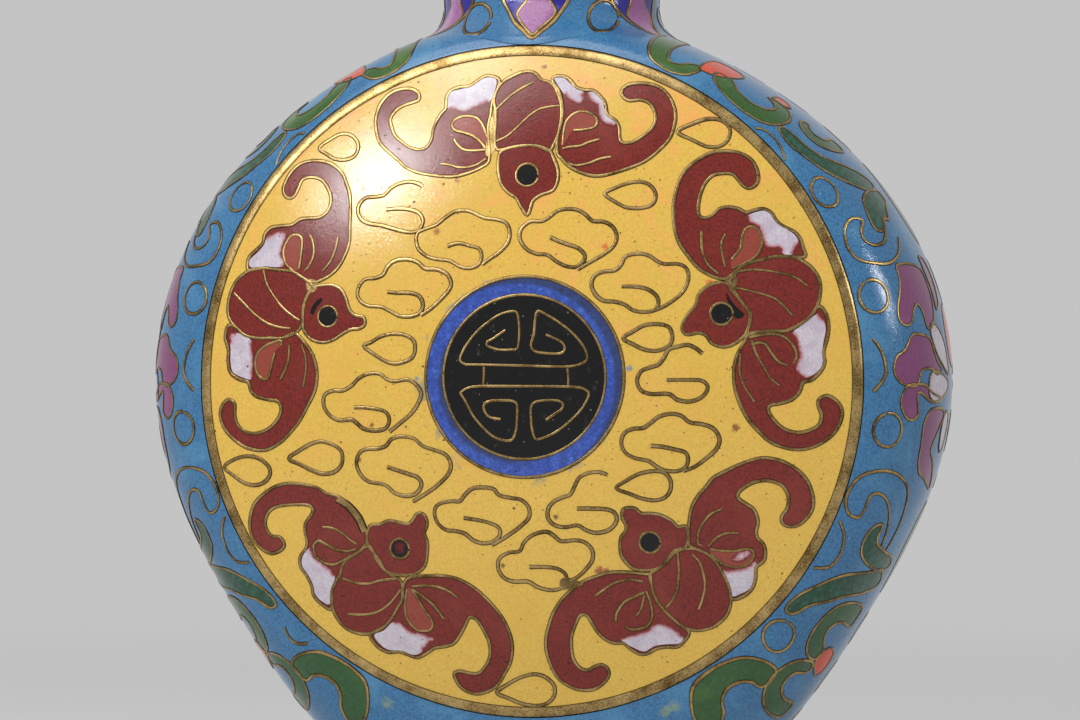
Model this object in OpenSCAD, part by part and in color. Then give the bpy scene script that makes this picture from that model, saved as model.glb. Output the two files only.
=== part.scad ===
// Cloisonne flask vase: a flattened round copper body with two domed medallions, a round neck
// and an oval foot. Gilt wires stand on the copper, and each enamel fills the cells between them.
// The flask faces -Y, stands on z = 0, and its wide sides point along X.

/* [Body] */
// Height of the medallions' centre above the table
medallion_z = 53.5; // [50:0.5:60]
// Half the width of the body at its widest line
side_reach = 44.7; // [42:0.1:50]
// Distance from the medallion's centre to the shoulder under the neck
shoulder_reach = 40.5; // [39.5:0.1:43]
// Shortest distance from the medallion's centre to the lower flank
haunch_reach = 43.6; // [41:0.1:46]
// Distance from the medallion's centre that the underside tends to below the foot
toe_reach = 54; // [51:0.1:58]
// Radius of the medallion at the outer edge of its gilt band
medallion_r = 36.4; // [32:0.1:38]
// Distance of the medallion's rim in front of the body's mid-plane
rim_y = 15.6; // [15.2:0.1:20]
// Height of the domed face above its rim
dome_rise = 6.4; // [4:0.1:9]

/* [Metal and enamel] */
// Thickness of the copper wall
wall = 1; // [0.8:0.1:1.6]
// Thickness of the enamel on the copper
enamel = 0.8; // [0.6:0.1:1.2]
// Thickness of the counter enamel inside the neck and under the base
counter_enamel = 0.4; // [0.3:0.1:0.6]
// Width of a gilt wire seen from above
wire = 0.36; // [0.25:0.01:0.5]
// Height that a wire stands above the polished enamel
wire_proud = 0.06; // [0.02:0.01:0.12]
// Height that a raised side or neck motif stands above its ground enamel
motif_rise = 0.16; // [0.1:0.02:0.3]
// Room left between two pieces that lie against each other
fit_gap = 0.02; // [0.01:0.01:0.05]

/* [Medallion] */
// Width of the gilt band round the medallion
band_w = 1.2; // [0.8:0.1:2]
// Outer radius of the blue ring round the fret roundel
roundel_r = 10.7; // [10:0.1:12]
// Radius of the black disc inside the blue ring
disc_r = 8.75; // [7:0.05:9.3]
// Distance of the bats' necks from the medallion's centre
bat_ring_r = 24.6; // [24:0.1:25]
// Number of bats round the roundel
bat_count = 5; // [3:1:5]

/* [Neck] */
// Outer radius of the straight neck
neck_r = 12.05; // [11:0.05:13]
// Radius of the collar where the neck meets the shoulder
collar_r = 14.6; // [13.5:0.1:14.8]
// Height over which the collar draws in to the straight neck
collar_rise = 3.7; // [3:0.1:5]
// Height of the whole vase
vase_h = 130; // [122:1:140]
// Outer radius of the gilt mouth
mouth_r = 16.5; // [15:0.1:19]
// Height of the gilt mouth rim
mouth_h = 2.4; // [1.6:0.1:4]
// Length of the flare below the mouth
flare_h = 12; // [9:0.5:15]
// Number of hanging lappets round the foot of the neck
lappet_count = 6; // [4:1:6]

/* [Foot] */
// Height of the foot ring
foot_h = 6.5; // [5.5:0.5:8]
// Half the width of the foot at the table
foot_reach = 19.4; // [18.5:0.1:22]
// Half the width of the foot where the body stands on it
ankle_reach = 17.4; // [17:0.1:18.4]
// Depth of the foot as a share of its width
foot_oval = 0.76; // [0.72:0.01:0.8]
// Width of the foot ring's metal at its top
foot_ledge = 3; // [2.8:0.1:4]
// Thickness of the copper base plate
base_t = 1; // [0.8:0.1:1.6]
// Height of the gilt band at the table
foot_band_h = 2; // [1.5:0.1:3]

/* [Fineness] */
// Straight pieces drawn between two points of a motif's outline
curve_steps = 1; // [1:1:2]

/* [Hidden] */

round_fn = 180;
dome_fn = 360;
eye_fn = 48;
side_turns = 48;
side_rows = 4;
wire_ring_steps = 7;
eps = 0.00001;
// Length by which a cutting solid passes the surface that it cuts
cut_past = 2;

// Edges and steps of the small metal parts
band_crown = 0.1;
collar_lip = 0.25;
neck_tail = 1;
lip_overhang = 0.6;
lip_chamfer = 0.7;
foot_skirt = 2.6;
foot_chamfer = 0.4;
foot_step_z = 3;

// Angles from the widest line at which the body's outline changes, and its flatness over the foot
shoulder_angle = 65;
haunch_angle = -30;
foot_angle = -90;
toe_angle = -100;
foot_flatness = 0.15;

// The medallion's drawings are laid out for a field of this radius
drawn_field_r = 35.2;
drawing_scale = (medallion_r - band_w) / drawn_field_r;

// Sphere that the polished medallion lies on
dome_r = (medallion_r * medallion_r + dome_rise * dome_rise) / (2 * dome_rise);
dome_y = dome_r - rim_y - dome_rise;
rim_slope = asin(medallion_r / dome_r);

collar_in_r = collar_r - enamel;
neck_foot_z = medallion_z + sqrt(shoulder_reach * shoulder_reach - collar_r * collar_r);
// Where the copper shoulder meets the copper neck
copper_shoulder = shoulder_reach - enamel;
neck_seat_z = medallion_z + sqrt(copper_shoulder * copper_shoulder - collar_in_r * collar_in_r);

flare_z = vase_h - mouth_h - flare_h;
foot_top_in = ankle_reach - foot_ledge;

copper = "#b87333";
gilt = "#c79a3c";
yellow = "#efcd5f";
brick = "#8c3732";
lavender = "#d7cddc";
cobalt = "#2f56c8";
ink_black = "#191a1e";
turquoise = "#4b91be";
leaf_green = "#3c7d3c";
magenta = "#963f82";
orange = "#d7461e";
deep_blue = "#1a12a0";
mauve = "#aa6ea0";

// ---- Curves ----

function blend(a, b, t) = a + (b - a) * t;
function ease(t) = (1 - cos(180 * max(0, min(1, t)))) / 2;

// A smooth curve through four neighbouring points, between the middle two
function spline(p, q, r, s, t) =
    0.5 * (2 * q + (r - p) * t + (2 * p - 5 * q + 4 * r - s) * t * t + (3 * q - p - 3 * r + s) * t * t * t);

function closed_curve(points, steps = curve_steps) =
    let (n = len(points))
    [for (i = [0 : n - 1], k = [0 : steps - 1])
        spline(points[(i + n - 1) % n], points[i], points[(i + 1) % n], points[(i + 2) % n], k / steps)];

function open_curve(points, steps = curve_steps) =
    let (n = len(points), last = n - 1)
    concat(
        [for (i = [0 : n - 2], k = [0 : steps - 1])
            spline(points[max(0, i - 1)], points[i], points[i + 1], points[min(last, i + 2)], k / steps)],
        [points[last]]);

function arc(r, from, to, steps, centre = [0, 0]) =
    [for (k = [0 : steps]) let (a = blend(from, to, k / steps)) centre + r * [cos(a), sin(a)]];

function unit(v) = v / max(norm(v), eps);
function across(v) = [-v[1], v[0]];

// Points beside an open path, at a distance that may change along it
function beside(path, half) =
    let (last = len(path) - 1)
    [for (i = [0 : last])
        path[i] + (is_list(half) ? half[i] : half)
            * across(unit(path[min(last, i + 1)] - path[max(0, i - 1)]))];

function reversed(list) = [for (i = [len(list) - 1 : -1 : 0]) list[i]];
function turned(points, angle) =
    [for (p = points) [p[0] * cos(angle) - p[1] * sin(angle), p[0] * sin(angle) + p[1] * cos(angle)]];
function moved(points, by) = [for (p = points) p + by];
function flipped(points) = [for (p = points) [-p[0], p[1]]];

// ---- Bats ----
// A bat is drawn in its own plane: u runs across it, v runs outward from the medallion's centre.

joint_u = 3.5;
joint_v = bat_ring_r;
drawn_joint_v = 24.6;
head_r = 3.05;
head_v = joint_v - 2.4;
eye_r = 1.15;

wing_points = [
    [3.5, 24.2], [5.5, 22.9], [8.2, 22.2], [11.2, 22.9], [13.7, 24.8], [15.3, 27.3], [15.5, 29.6],
    [14.3, 31.4], [12.2, 31.9], [10.5, 31.2], [11, 30.2], [12.7, 30], [13.6, 28.6], [13.1, 26.8], [11, 25.4],
    [10.2, 27.4], [9.4, 28.9], [8, 30.8], [6.2, 31.3], [4.8, 32.4], [3.2, 32.7], [2.5, 32], [3.5, 29.8],
    [3.6, 26.6]
];
patch_points = [
    [10, 27.9], [9.3, 28.9], [8, 30.7], [6.2, 31.2], [4.8, 32.2], [3.2, 32.5], [2.8, 31.8],
    [4.2, 30.4], [6, 29.7], [7.6, 29.5], [9, 27.9]
];
leaf_vein = [
    [3.7, 25], [3.9, 27.2], [5.2, 28.8], [7.4, 28.6], [7.4, 27.3], [5.4, 27.1], [4.2, 25.6]
];
wing_veins = [
    [[3.8, 24.8], [5.4, 25.4], [7.8, 26.1]],
    [[3.9, 24.3], [6, 23.2], [9.2, 24.1]]
];
body_points = [
    [-3, 25.6], [-3.6, 27.8], [-3.5, 30], [-2.4, 32.2], [-0.6, 33.2], [0.9, 33], [2.4, 32.1], [3.3, 30.2],
    [3.5, 27.9], [2.9, 25.6], [1.5, 25.1], [-1.5, 25.1]
];
body_veins = [
    [[-3.1, 25.9], [-1.2, 27.8], [1, 29.2], [3.3, 29.7]],
    [[-3.4, 29.4], [-1.8, 31], [0.2, 32.2]]
];
// The head is round, with a small pointed snout toward the medallion's centre
snout_angle = -55;
snout_half = 0.9;
snout_from = 5.2;
snout_tip = 6.4;
head_points = concat(
    arc(head_r, snout_angle, 180 - snout_angle, 8, [0, head_v]),
    [[-snout_half, joint_v - snout_from], [0, joint_v - snout_tip], [snout_half, joint_v - snout_from]]);

// How far each bat's left and right wing droops about its shoulder, and how long it is
wing_droop = [[2, 0], [12, 10], [14, 10], [5, 1], [2, -1]];
wing_length = [[1.1, 1], [1.05, 0.98], [1.05, 0.98], [0.97, 1], [0.98, 0.97]];
bat_shift = [0.6, 0, 0.2, 0, 0];

// A wing shape of bat number i, on its right side (1) or its left side (-1)
function winged(points, i, hand) =
    let (
        pick = hand > 0 ? 1 : 0,
        hinge = [joint_u, joint_v],
        long = [for (p = points) hinge + [(p[0] - joint_u) * wing_length[i][pick], p[1] - drawn_joint_v]],
        down = moved(turned(moved(long, -hinge), -wing_droop[i][pick]), hinge))
    hand > 0 ? down : flipped(down);

function seated(points) = moved(points, [0, joint_v - drawn_joint_v]);
function batted(points, i) = drawing_scale * turned(moved(points, [bat_shift[i], 0]), -360 / bat_count * i);

module each_bat_wing() {
    for (i = [0 : bat_count - 1], hand = [-1, 1]) {
        $bat = i;
        $hand = hand;
        children();
    }
}

module bats_2d() {
    each_bat_wing() polygon(closed_curve(batted(winged(wing_points, $bat, $hand), $bat)));
    for (i = [0 : bat_count - 1]) {
        polygon(closed_curve(batted(seated(body_points), i)));
        polygon(batted(head_points, i));
    }
}

module wing_patches_2d() {
    each_bat_wing() polygon(closed_curve(batted(winged(patch_points, $bat, $hand), $bat)));
}

module eyes_2d(r = eye_r) {
    for (i = [0 : bat_count - 1]) {
        centre = batted([[0, head_v]], i)[0];
        translate(centre) circle(r = r, $fn = eye_fn);
    }
}

// ---- Hairlines: the centre line of a wire, just thick enough to be widened by offset ----

hair = 0.02;

module hair_open(path) polygon(concat(beside(path, hair / 2), reversed(beside(path, -hair / 2))));
module hair_closed(path) hair_open(concat(path, [path[0]]));

module bat_hairs() {
    each_bat_wing() {
        hair_closed(closed_curve(batted(winged(wing_points, $bat, $hand), $bat)));
        hair_open(open_curve(batted(winged(leaf_vein, $bat, $hand), $bat)));
        for (v = wing_veins) hair_open(open_curve(batted(winged(v, $bat, $hand), $bat)));
    }
    for (i = [0 : bat_count - 1]) {
        hair_closed(closed_curve(batted(seated(body_points), i)));
        hair_closed(batted(head_points, i));
        for (v = body_veins) hair_open(open_curve(batted(seated(v), i)));
    }
}

// ---- Clouds and drops ----

cloud_points = [
    [-5.1, 0.7], [-4.1, 1.8], [-2.6, 1.7], [-1.3, 2.8], [0.5, 3.1], [2.9, 1.8], [4.3, 1.4], [5.2, 0],
    [4.4, -1.5], [2.3, -2.9], [0.4, -3.2], [-2.1, -2], [-3.8, -1.6], [-4.9, -0.5]
];
cloud_curl = [[2.1, -2.9], [1.7, -1.5], [0.4, -0.7], [-1.6, -0.3]];
open_cloud = [
    [3.4, 2.1], [1.8, 3], [0, 2.4], [-1.1, 1.2], [-2.7, 0.6], [-3.7, -0.7], [-2.6, -1.9], [-1, -2],
    [0.9, -2.9], [3, -2.7], [3.7, -1.5], [2.8, -0.6], [-0.6, -0.5]
];
drop_points = [[-2.9, 0.1], [-1.2, 1], [0.8, 1.5], [2.5, 0.8], [2.6, -0.7], [0.6, -1.6], [-1.5, -0.8]];

cloud_places = [
    [5.3, 15.4], [-6.2, 15.4], [13, 10.7], [-12.6, 10.1], [-16.1, -2.2], [-12.7, -8.9], [-4.1, -14.2],
    [2.7, -19.1], [16.3, -6.4]
];
open_cloud_places = [[-14.3, 18.9], [16.4, 0.9], [6.7, -13]];
drop_places = [
    [12, 20], [14.1, 4.7], [-14, 3.7], [13.6, -11], [-22.6, -8.2], [19.6, 26.5], [-20.2, 25.6], [-30.7, -9.9],
    [0.3, -33.2]
];

function clouded(points, place) = drawing_scale * moved(points, place);

module cloud_hairs() {
    for (place = cloud_places) {
        hair_closed(closed_curve(clouded(cloud_points, place)));
        hair_open(open_curve(clouded(cloud_curl, place)));
    }
    for (place = open_cloud_places) hair_open(open_curve(clouded(open_cloud, place)));
    for (place = drop_places) hair_closed(closed_curve(clouded(drop_points, place)));
}

// ---- Fret roundel ----
// The hand-set roundel sits a little off the medallion's centre.

roundel_at = [0.7, 0.5];
drawn_disc_r = 8.75;
fret_scale = disc_r / drawn_disc_r;
fret_arch = [
    [0.95, 2.8], [0.7, 4], [0.9, 6.4], [1.6, 6.9], [3.8, 6.2], [5.6, 4.6], [6.5, 2.6], [5.6, 1.15]
];
fret_curl = [[0.95, 2.8], [2.2, 2.6], [3.7, 2.6], [4.2, 3.3], [3.7, 4.1], [2.2, 4.6]];
fret_bar = 1.15;
fret_post = 4.55;

function fretted(points, hand, up) = [for (p = points) roundel_at + fret_scale * [p[0] * hand, p[1] * up]];

module roundel_hairs() {
    for (hand = [-1, 1], up = [-1, 1]) {
        hair_open(open_curve(fretted(fret_arch, hand, up)));
        hair_open(open_curve(fretted(fret_curl, hand, up)));
    }
    for (up = [-1, 1]) hair_open(fretted([[-5.6, fret_bar], [5.6, fret_bar]], 1, up));
    for (hand = [-1, 1]) hair_open(fretted([[fret_post, -fret_bar], [fret_post, fret_bar]], hand, 1));
}

module wires_of(width = wire) offset(delta = (width - hair) / 2) children();

// ---- Placing flat drawings on the domed medallion ----

module dome_layer(low, high) {
    translate([0, dome_y, medallion_z])
        difference() {
            sphere(r = dome_r + high, $fn = dome_fn);
            sphere(r = dome_r + low, $fn = dome_fn);
        }
}

// Cuts a drawing in x and z out of the layer between two heights on the front dome
module on_dome(low, high) {
    reach = dome_rise + enamel + wall + cut_past;
    intersection() {
        translate([0, -rim_y + reach / 2, medallion_z])
            rotate([90, 0, 0])
                linear_extrude(height = 2 * reach) children();
        dome_layer(low, high);
    }
}

module copper_disc() {
    color(copper) on_dome(-enamel - wall, -enamel) circle(r = medallion_r - band_w - fit_gap, $fn = round_fn);
}

// The band closes the joint between the face and the side wall
module medallion_band() {
    inner = medallion_r - band_w;
    // The side wall has flats, so its opening is narrowest in the middle of each flat
    outer = medallion_r * cos(180 / side_turns) - fit_gap;
    crown = wire_proud + band_crown;
    depth = enamel + wall;
    y_in = dome_y - sqrt(dome_r * dome_r - inner * inner);
    color(gilt)
        translate([0, 0, medallion_z])
            rotate([90, 0, 0])
                rotate_extrude($fn = round_fn)
                    polygon([
                        [inner, -y_in - depth], [inner, -y_in + crown / 2],
                        [inner + band_w / 4, -y_in + crown], [outer - band_w / 4, rim_y + crown], [outer, rim_y],
                        [outer - depth * sin(rim_slope), rim_y - depth * cos(rim_slope)]
                    ]);
}

module field_2d() {
    difference() {
        circle(r = medallion_r - band_w - fit_gap, $fn = round_fn);
        offset(delta = wire / 2 + fit_gap) {
            bats_2d();
            cloud_hairs();
        }
        translate(roundel_at) circle(r = roundel_r + wire / 2 + fit_gap, $fn = round_fn);
    }
}

module medallion_field() color(yellow) on_dome(-enamel, 0) field_2d();

module medallion_bats() {
    color(brick)
        on_dome(-enamel, 0)
            difference() {
                offset(delta = -fit_gap)
                    difference() {
                        bats_2d();
                        wires_of() bat_hairs();
                        wing_patches_2d();
                    }
                eyes_2d(eye_r + wire + fit_gap);
            }
}

module medallion_wing_patches() {
    color(lavender)
        on_dome(-enamel, 0)
            offset(delta = -fit_gap)
                difference() {
                    wing_patches_2d();
                    wires_of() bat_hairs();
                }
}

module medallion_eyes() color(ink_black) on_dome(-enamel, 0) eyes_2d();

module medallion_bat_wires() {
    color(gilt) {
        on_dome(-enamel, wire_proud) wires_of() bat_hairs();
        on_dome(-enamel, wire_proud)
            difference() {
                eyes_2d(eye_r + wire);
                eyes_2d(eye_r + fit_gap);
            }
    }
}

module medallion_cloud_wires() color(gilt) on_dome(-enamel, wire_proud) wires_of() cloud_hairs();

module annulus(outer, inner) {
    difference() {
        circle(r = outer, $fn = round_fn);
        circle(r = inner, $fn = round_fn);
    }
}

module medallion_roundel_ring() {
    color(cobalt)
        on_dome(-enamel, 0)
            translate(roundel_at) annulus(roundel_r - wire / 2 - fit_gap, disc_r + wire / 2 + fit_gap);
}

module medallion_roundel_disc() {
    color(ink_black)
        on_dome(-enamel, 0)
            difference() {
                translate(roundel_at) circle(r = disc_r - wire / 2 - fit_gap, $fn = round_fn);
                wires_of(wire + 2 * fit_gap) roundel_hairs();
            }
}

module medallion_roundel_wires() {
    color(gilt) {
        on_dome(-enamel, wire_proud) wires_of() roundel_hairs();
        for (r = [disc_r, roundel_r])
            on_dome(-enamel, wire_proud) translate(roundel_at) annulus(r + wire / 2, r - wire / 2);
    }
}

// The back medallion is the front one turned half round the vase's axis
module to_back() rotate([0, 0, 180]) children();

module front_plate() copper_disc();
module back_plate() to_back() copper_disc();
module front_band() medallion_band();
module back_band() to_back() medallion_band();
module front_field() medallion_field();
module back_field() to_back() medallion_field();
module front_bats() medallion_bats();
module back_bats() to_back() medallion_bats();
module front_wing_patches() medallion_wing_patches();
module back_wing_patches() to_back() medallion_wing_patches();
module front_eyes() medallion_eyes();
module back_eyes() to_back() medallion_eyes();
module front_bat_wires() medallion_bat_wires();
module back_bat_wires() to_back() medallion_bat_wires();
module front_cloud_wires() medallion_cloud_wires();
module back_cloud_wires() to_back() medallion_cloud_wires();
module front_roundel_ring() medallion_roundel_ring();
module back_roundel_ring() to_back() medallion_roundel_ring();
module front_roundel_disc() medallion_roundel_disc();
module back_roundel_disc() to_back() medallion_roundel_disc();
module front_roundel_wires() medallion_roundel_wires();
module back_roundel_wires() to_back() medallion_roundel_wires();

// ---- Side wall ----
// Angle a goes round the medallion's centre: 0 is +X, 90 is up. w goes across the side: -1 at the
// front rim, 0 at the mid-plane, 1 at the back rim. d is the depth below the polished surface.

function mirrored_angle(a) = a > 90 ? 180 - a : a < -90 ? -180 - a : a;

function reach_at(a) =
    let (b = mirrored_angle(a))
    b >= 0 ? blend(side_reach, shoulder_reach, ease(b / shoulder_angle))
    : b >= haunch_angle ? blend(side_reach, haunch_reach, ease(b / haunch_angle))
    : blend(haunch_reach, toe_reach, ease((b - haunch_angle) / (toe_angle - haunch_angle)));

// The flank grows fuller towards the foot
function flatness_at(a) =
    blend(1, foot_flatness, ease((mirrored_angle(a) - haunch_angle) / (foot_angle - haunch_angle)));

function side_point(a, w, d = 0) =
    let (
        t = 1 - abs(w),
        k = (1 - t) * (1 - t),
        rim = medallion_r - d * sin(rim_slope),
        face = rim_y - d * cos(rim_slope),
        reach = reach_at(a) - d,
        shoulder = face - (reach - rim) * tan(rim_slope) * flatness_at(a),
        r = blend(reach, rim, k),
        y = face * k + 2 * t * (1 - t) * shoulder)
    [r * cos(a), sign(w) * y, medallion_z + r * sin(a)];

function half_turn(a) = a > 180 ? a - 360 : a;

// A closed band round the whole side, between two depths
module side_band(low, high) {
    cols = side_turns;
    rows = 2 * side_rows;
    points = [
        for (d = [high, low], i = [0 : rows], j = [0 : cols - 1])
            side_point(half_turn(360 * j / cols), i / side_rows - 1, d)
    ];
    outer = 0;
    inner = (rows + 1) * cols;
    faces = concat(
        [for (i = [0 : rows - 1], j = [0 : cols - 1]) let (k = (j + 1) % cols)
            each [[outer + i * cols + j, outer + (i + 1) * cols + k, outer + (i + 1) * cols + j],
                  [outer + i * cols + j, outer + i * cols + k, outer + (i + 1) * cols + k]]],
        [for (i = [0 : rows - 1], j = [0 : cols - 1]) let (k = (j + 1) % cols)
            each [[inner + i * cols + j, inner + (i + 1) * cols + j, inner + (i + 1) * cols + k],
                  [inner + i * cols + j, inner + (i + 1) * cols + k, inner + i * cols + k]]],
        [for (j = [0 : cols - 1]) let (k = (j + 1) % cols)
            each [[outer + j, inner + k, outer + k], [outer + j, inner + j, inner + k]]],
        [for (j = [0 : cols - 1]) let (k = (j + 1) % cols, last = rows * cols)
            each [[outer + last + k, inner + last + j, outer + last + j],
                  [outer + last + k, inner + last + k, inner + last + j]]]);
    polyhedron(points, faces, convexity = 6);
}

// The openings under the neck and over the foot
module side_cuts(neck_hole) {
    translate([0, 0, medallion_z]) cylinder(r = neck_hole, h = shoulder_reach + cut_past, $fn = round_fn);
    translate([-toe_reach, -toe_reach, foot_h - 2 * toe_reach]) cube(2 * toe_reach);
}

module side_wall() {
    color(copper)
        difference() {
            side_band(enamel + wall, enamel);
            side_cuts(collar_in_r + fit_gap);
        }
}

module side_ground() {
    color(turquoise)
        difference() {
            side_band(enamel - fit_gap, 0);
            side_cuts(collar_r + fit_gap);
        }
}

// ---- Motifs laid on a curved surface ----
// A motif is drawn in the surface's own two coordinates, and place() turns them into a point.

// A patch inside a round outline, as a fan about its middle
module inlay(outline, low, high, place) {
    n = len(outline);
    middle = [for (axis = [0, 1]) vsum([for (p = outline) p[axis]]) / n];
    points = concat(
        [for (p = outline) place(p, high)], [place(middle, high)],
        [for (p = outline) place(p, low)], [place(middle, low)]);
    base = n + 1;
    polyhedron(points, concat(
        [for (i = [0 : n - 1]) let (k = (i + 1) % n) [i, n, k]],
        [for (i = [0 : n - 1]) let (k = (i + 1) % n) [base + i, base + k, base + n]],
        [for (i = [0 : n - 1]) let (k = (i + 1) % n)
            each [[i, k, base + k], [i, base + k, base + i]]]));
}

function vsum(list, i = 0) = i < len(list) ? list[i] + vsum(list, i + 1) : 0;

// A solid through a row of sections that all have the same number of points
module sweep(sections) {
    m = len(sections[0]);
    last = m * (len(sections) - 1);
    polyhedron([for (section = sections) each section], concat(
        [for (i = [0 : len(sections) - 2], s = [0 : m - 1])
            let (a = m * i + s, b = m * i + (s + 1) % m)
            each [[a, b, b + m], [a, b + m, a + m]]],
        [for (s = [1 : m - 2]) [0, s + 1, s]],
        [for (s = [1 : m - 2]) [last, last + s, last + s + 1]]));
}

// A flat strip along an open path, with half widths that may change along it
module strip(path, half, low, high, place) {
    left = beside(path, half);
    right = beside(path, is_list(half) ? [for (h = half) -h] : -half);
    sweep([for (i = [0 : len(path) - 1])
        [place(left[i], high), place(right[i], high), place(right[i], low), place(left[i], low)]]);
}

// A wire along an open path: a ridge with its foot on the surface
module wire_along(path, half, low, high, place) {
    left = beside(path, half);
    right = beside(path, -half);
    sweep([for (i = [0 : len(path) - 1]) [place(left[i], low), place(path[i], high), place(right[i], low)]]);
}

// ---- Side motifs ----
// They are drawn in millimetres on the unrolled right flank: first along the rim, up from the widest
// line, and then across, from the mid-plane to the front rim.

flank_unit = 0.75;
flank_w = 18.6;

petal_shapes = [
    [[12.6, 11], [10, 12], [7.8, 13.2], [6.4, 12.4], [7.2, 9.6], [6.6, 6], [8, 4.8], [11.6, 5], [12.8, 8]],
    [[4.6, 11.6], [3.4, 14], [1.4, 14.8], [-1, 13.8], [-3.2, 12.8], [-3, 11], [-0.8, 9.6], [0.6, 7],
        [2.4, 6], [4.2, 8.4]],
    [[-3.2, 7.6], [-5.6, 9.2], [-8.6, 8.4], [-10.6, 5.6], [-11, 2.8], [-8.4, 3.8], [-6, 5], [-3.8, 4.8]]
];
heart_shapes = [
    [[6, 6.2], [4.6, 7.2], [2.6, 5.4], [1.4, 2.6], [3.2, 3]],
    [[0.4, 7], [-0.8, 8.2], [-2, 6.6], [-2, 3.6], [-0.6, 2.2], [0.6, 4]]
];
leaf_paths = [
    [[51, 9], [51.6, 13], [50.6, 15.8], [48.2, 16.2], [46.4, 14], [46.2, 12]],
    [[43, 12.8], [41.6, 15.8], [38.6, 16.6], [36, 15], [35, 12.6], [35.6, 10]],
    [[33.6, 14.4], [30.6, 14.2], [27.8, 12.6], [25.4, 10], [23.4, 6.6]],
    [[21, 4.6], [21.4, 7.4], [20.6, 10.4], [18.8, 11.8]],
    [[-18, 12], [-19, 10.2], [-19.8, 8], [-20.4, 6]],
    [[-30, 17], [-27.4, 15.4], [-25, 13], [-23.2, 10], [-22.2, 6.6]],
    [[-27.6, 5], [-27, 8.6], [-28.2, 11.6], [-30.4, 12], [-32.2, 9.6]],
    [[-34.2, 9.6], [-35.2, 12], [-37.4, 12.4], [-39, 10.8], [-39.6, 8]],
    [[-37.4, 14], [-38.8, 16], [-41, 17], [-43.2, 17.2]]
];
bud_shapes = [
    [[45, 13.4], [43.4, 11], [43, 8], [44.6, 6.4], [45.6, 8.6], [45.8, 11.4]],
    [[-33.2, 8.8], [-34.4, 7.4], [-35, 5.4], [-33.6, 4.4], [-32, 6]]
];
scroll_paths = [
    [[19.6, 13.6], [19, 16.2], [16, 17], [14, 14.6], [13.8, 11.4], [15.4, 8.6]],
    [[18.8, 13.6], [17, 14.4], [16, 12.4], [16.4, 9.6]],
    [[-16.4, 16.2], [-14.6, 17.8], [-12, 16.8], [-10.6, 13.6], [-11.6, 10.4], [-15, 9]],
    [[-15.6, 15.2], [-13.6, 14.8], [-12.8, 12.6], [-14.2, 9.6], [-17.6, 8.2]],
    [[5.2, 17], [3, 15.9], [1, 15.9], [-0.9, 17.2]],
    [[-18, 17.6], [-20, 16.2], [-22.6, 16.2], [-24.4, 17.8]],
    [[35.2, 17.8], [33, 16.9], [30.8, 17.2]]
];
circle_places = [[24.4, 16.2], [10.5, 16], [-5.6, 15], [-33.8, 16]];
circle_r = 1.9;
// A ring of wire is bent round from its start and stops just short of it
ring_turn = 315;
leaf_half = 1.1;
leaf_tip = 0.45;

// Side coordinates of a flank point on one of the four quarters
function on_flank(side, face) =
    function (p, h)
        let (a = p[0] / flank_unit)
        side_point(side > 0 ? a : a < 0 ? -180 - a : 180 - a, face * min(1, p[1] / flank_w), -h);

module each_flank() {
    for (side = [-1, 1], face = [-1, 1]) {
        $place = on_flank(side, face);
        // A mirrored quarter would turn the solid inside out, so its outlines run the other way
        $turn = side * face < 0;
        children();
    }
}

function facing(points, turn) = turn ? points : reversed(points);

module flank_inlays(shapes) {
    each_flank()
        for (shape = shapes)
            inlay(facing(shape, $turn), fit_gap, motif_rise, $place);
}

module lotus_petals() color(magenta) flank_inlays(petal_shapes);
module lotus_hearts() color(lavender) flank_inlays(heart_shapes);
module orange_buds() color(orange) flank_inlays(bud_shapes);

module flank_strip(path, half) strip(path, $turn ? -half : half, fit_gap, motif_rise, $place);
module flank_wire(path) wire_along(path, $turn ? -wire / 2 : wire / 2, fit_gap, motif_rise, $place);

module scroll_leaves() {
    color(leaf_green)
        each_flank()
            for (path = leaf_paths) {
                line = open_curve(path);
                n = len(line) - 1;
                flank_strip(line, leaf_half * [for (i = [0 : n]) blend(leaf_tip, 1, sin(180 * i / n))]);
            }
}

module side_wires() {
    color(gilt)
        each_flank() {
            for (path = scroll_paths) flank_wire(path);
            for (place = circle_places) flank_wire(arc(circle_r, 0, ring_turn, wire_ring_steps, place));
        }
}

// ---- Neck ----

// Outer profile of the polished neck, from the shoulder to the mouth
collar_steps = 4;
flare_steps = 6;
neck_profile = concat(
    [for (k = [0 : collar_steps]) let (t = k / collar_steps, rise = collar_rise * blend(t, t * t, 0.4))
        [blend(collar_r, neck_r, sin(90 * t)), neck_foot_z + collar_lip + rise]],
    [for (k = [0 : flare_steps]) let (t = k / flare_steps)
        [blend(neck_r, mouth_r - lip_overhang, 1 - cos(90 * t)), flare_z + flare_h * t]]);

function inward(profile, d) = [for (p = profile) [p[0] - d, p[1]]];

// A skin of the neck between two depths, carried straight down to a given height
module neck_shell(low, high, bottom_z) {
    outer = inward(neck_profile, high);
    inner = inward(neck_profile, low);
    rotate_extrude($fn = round_fn)
        polygon(concat([[inner[0][0], bottom_z], [outer[0][0], bottom_z]], outer, reversed(inner)));
}

module neck_tube() color(copper) neck_shell(enamel + wall, enamel, neck_seat_z - wall - neck_tail);
module neck_ground() color(turquoise) neck_shell(enamel, 0, neck_seat_z + fit_gap);
module neck_lining() {
    color(turquoise)
        neck_shell(enamel + wall + counter_enamel, enamel + wall, neck_seat_z - wall - neck_tail);
}

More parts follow.
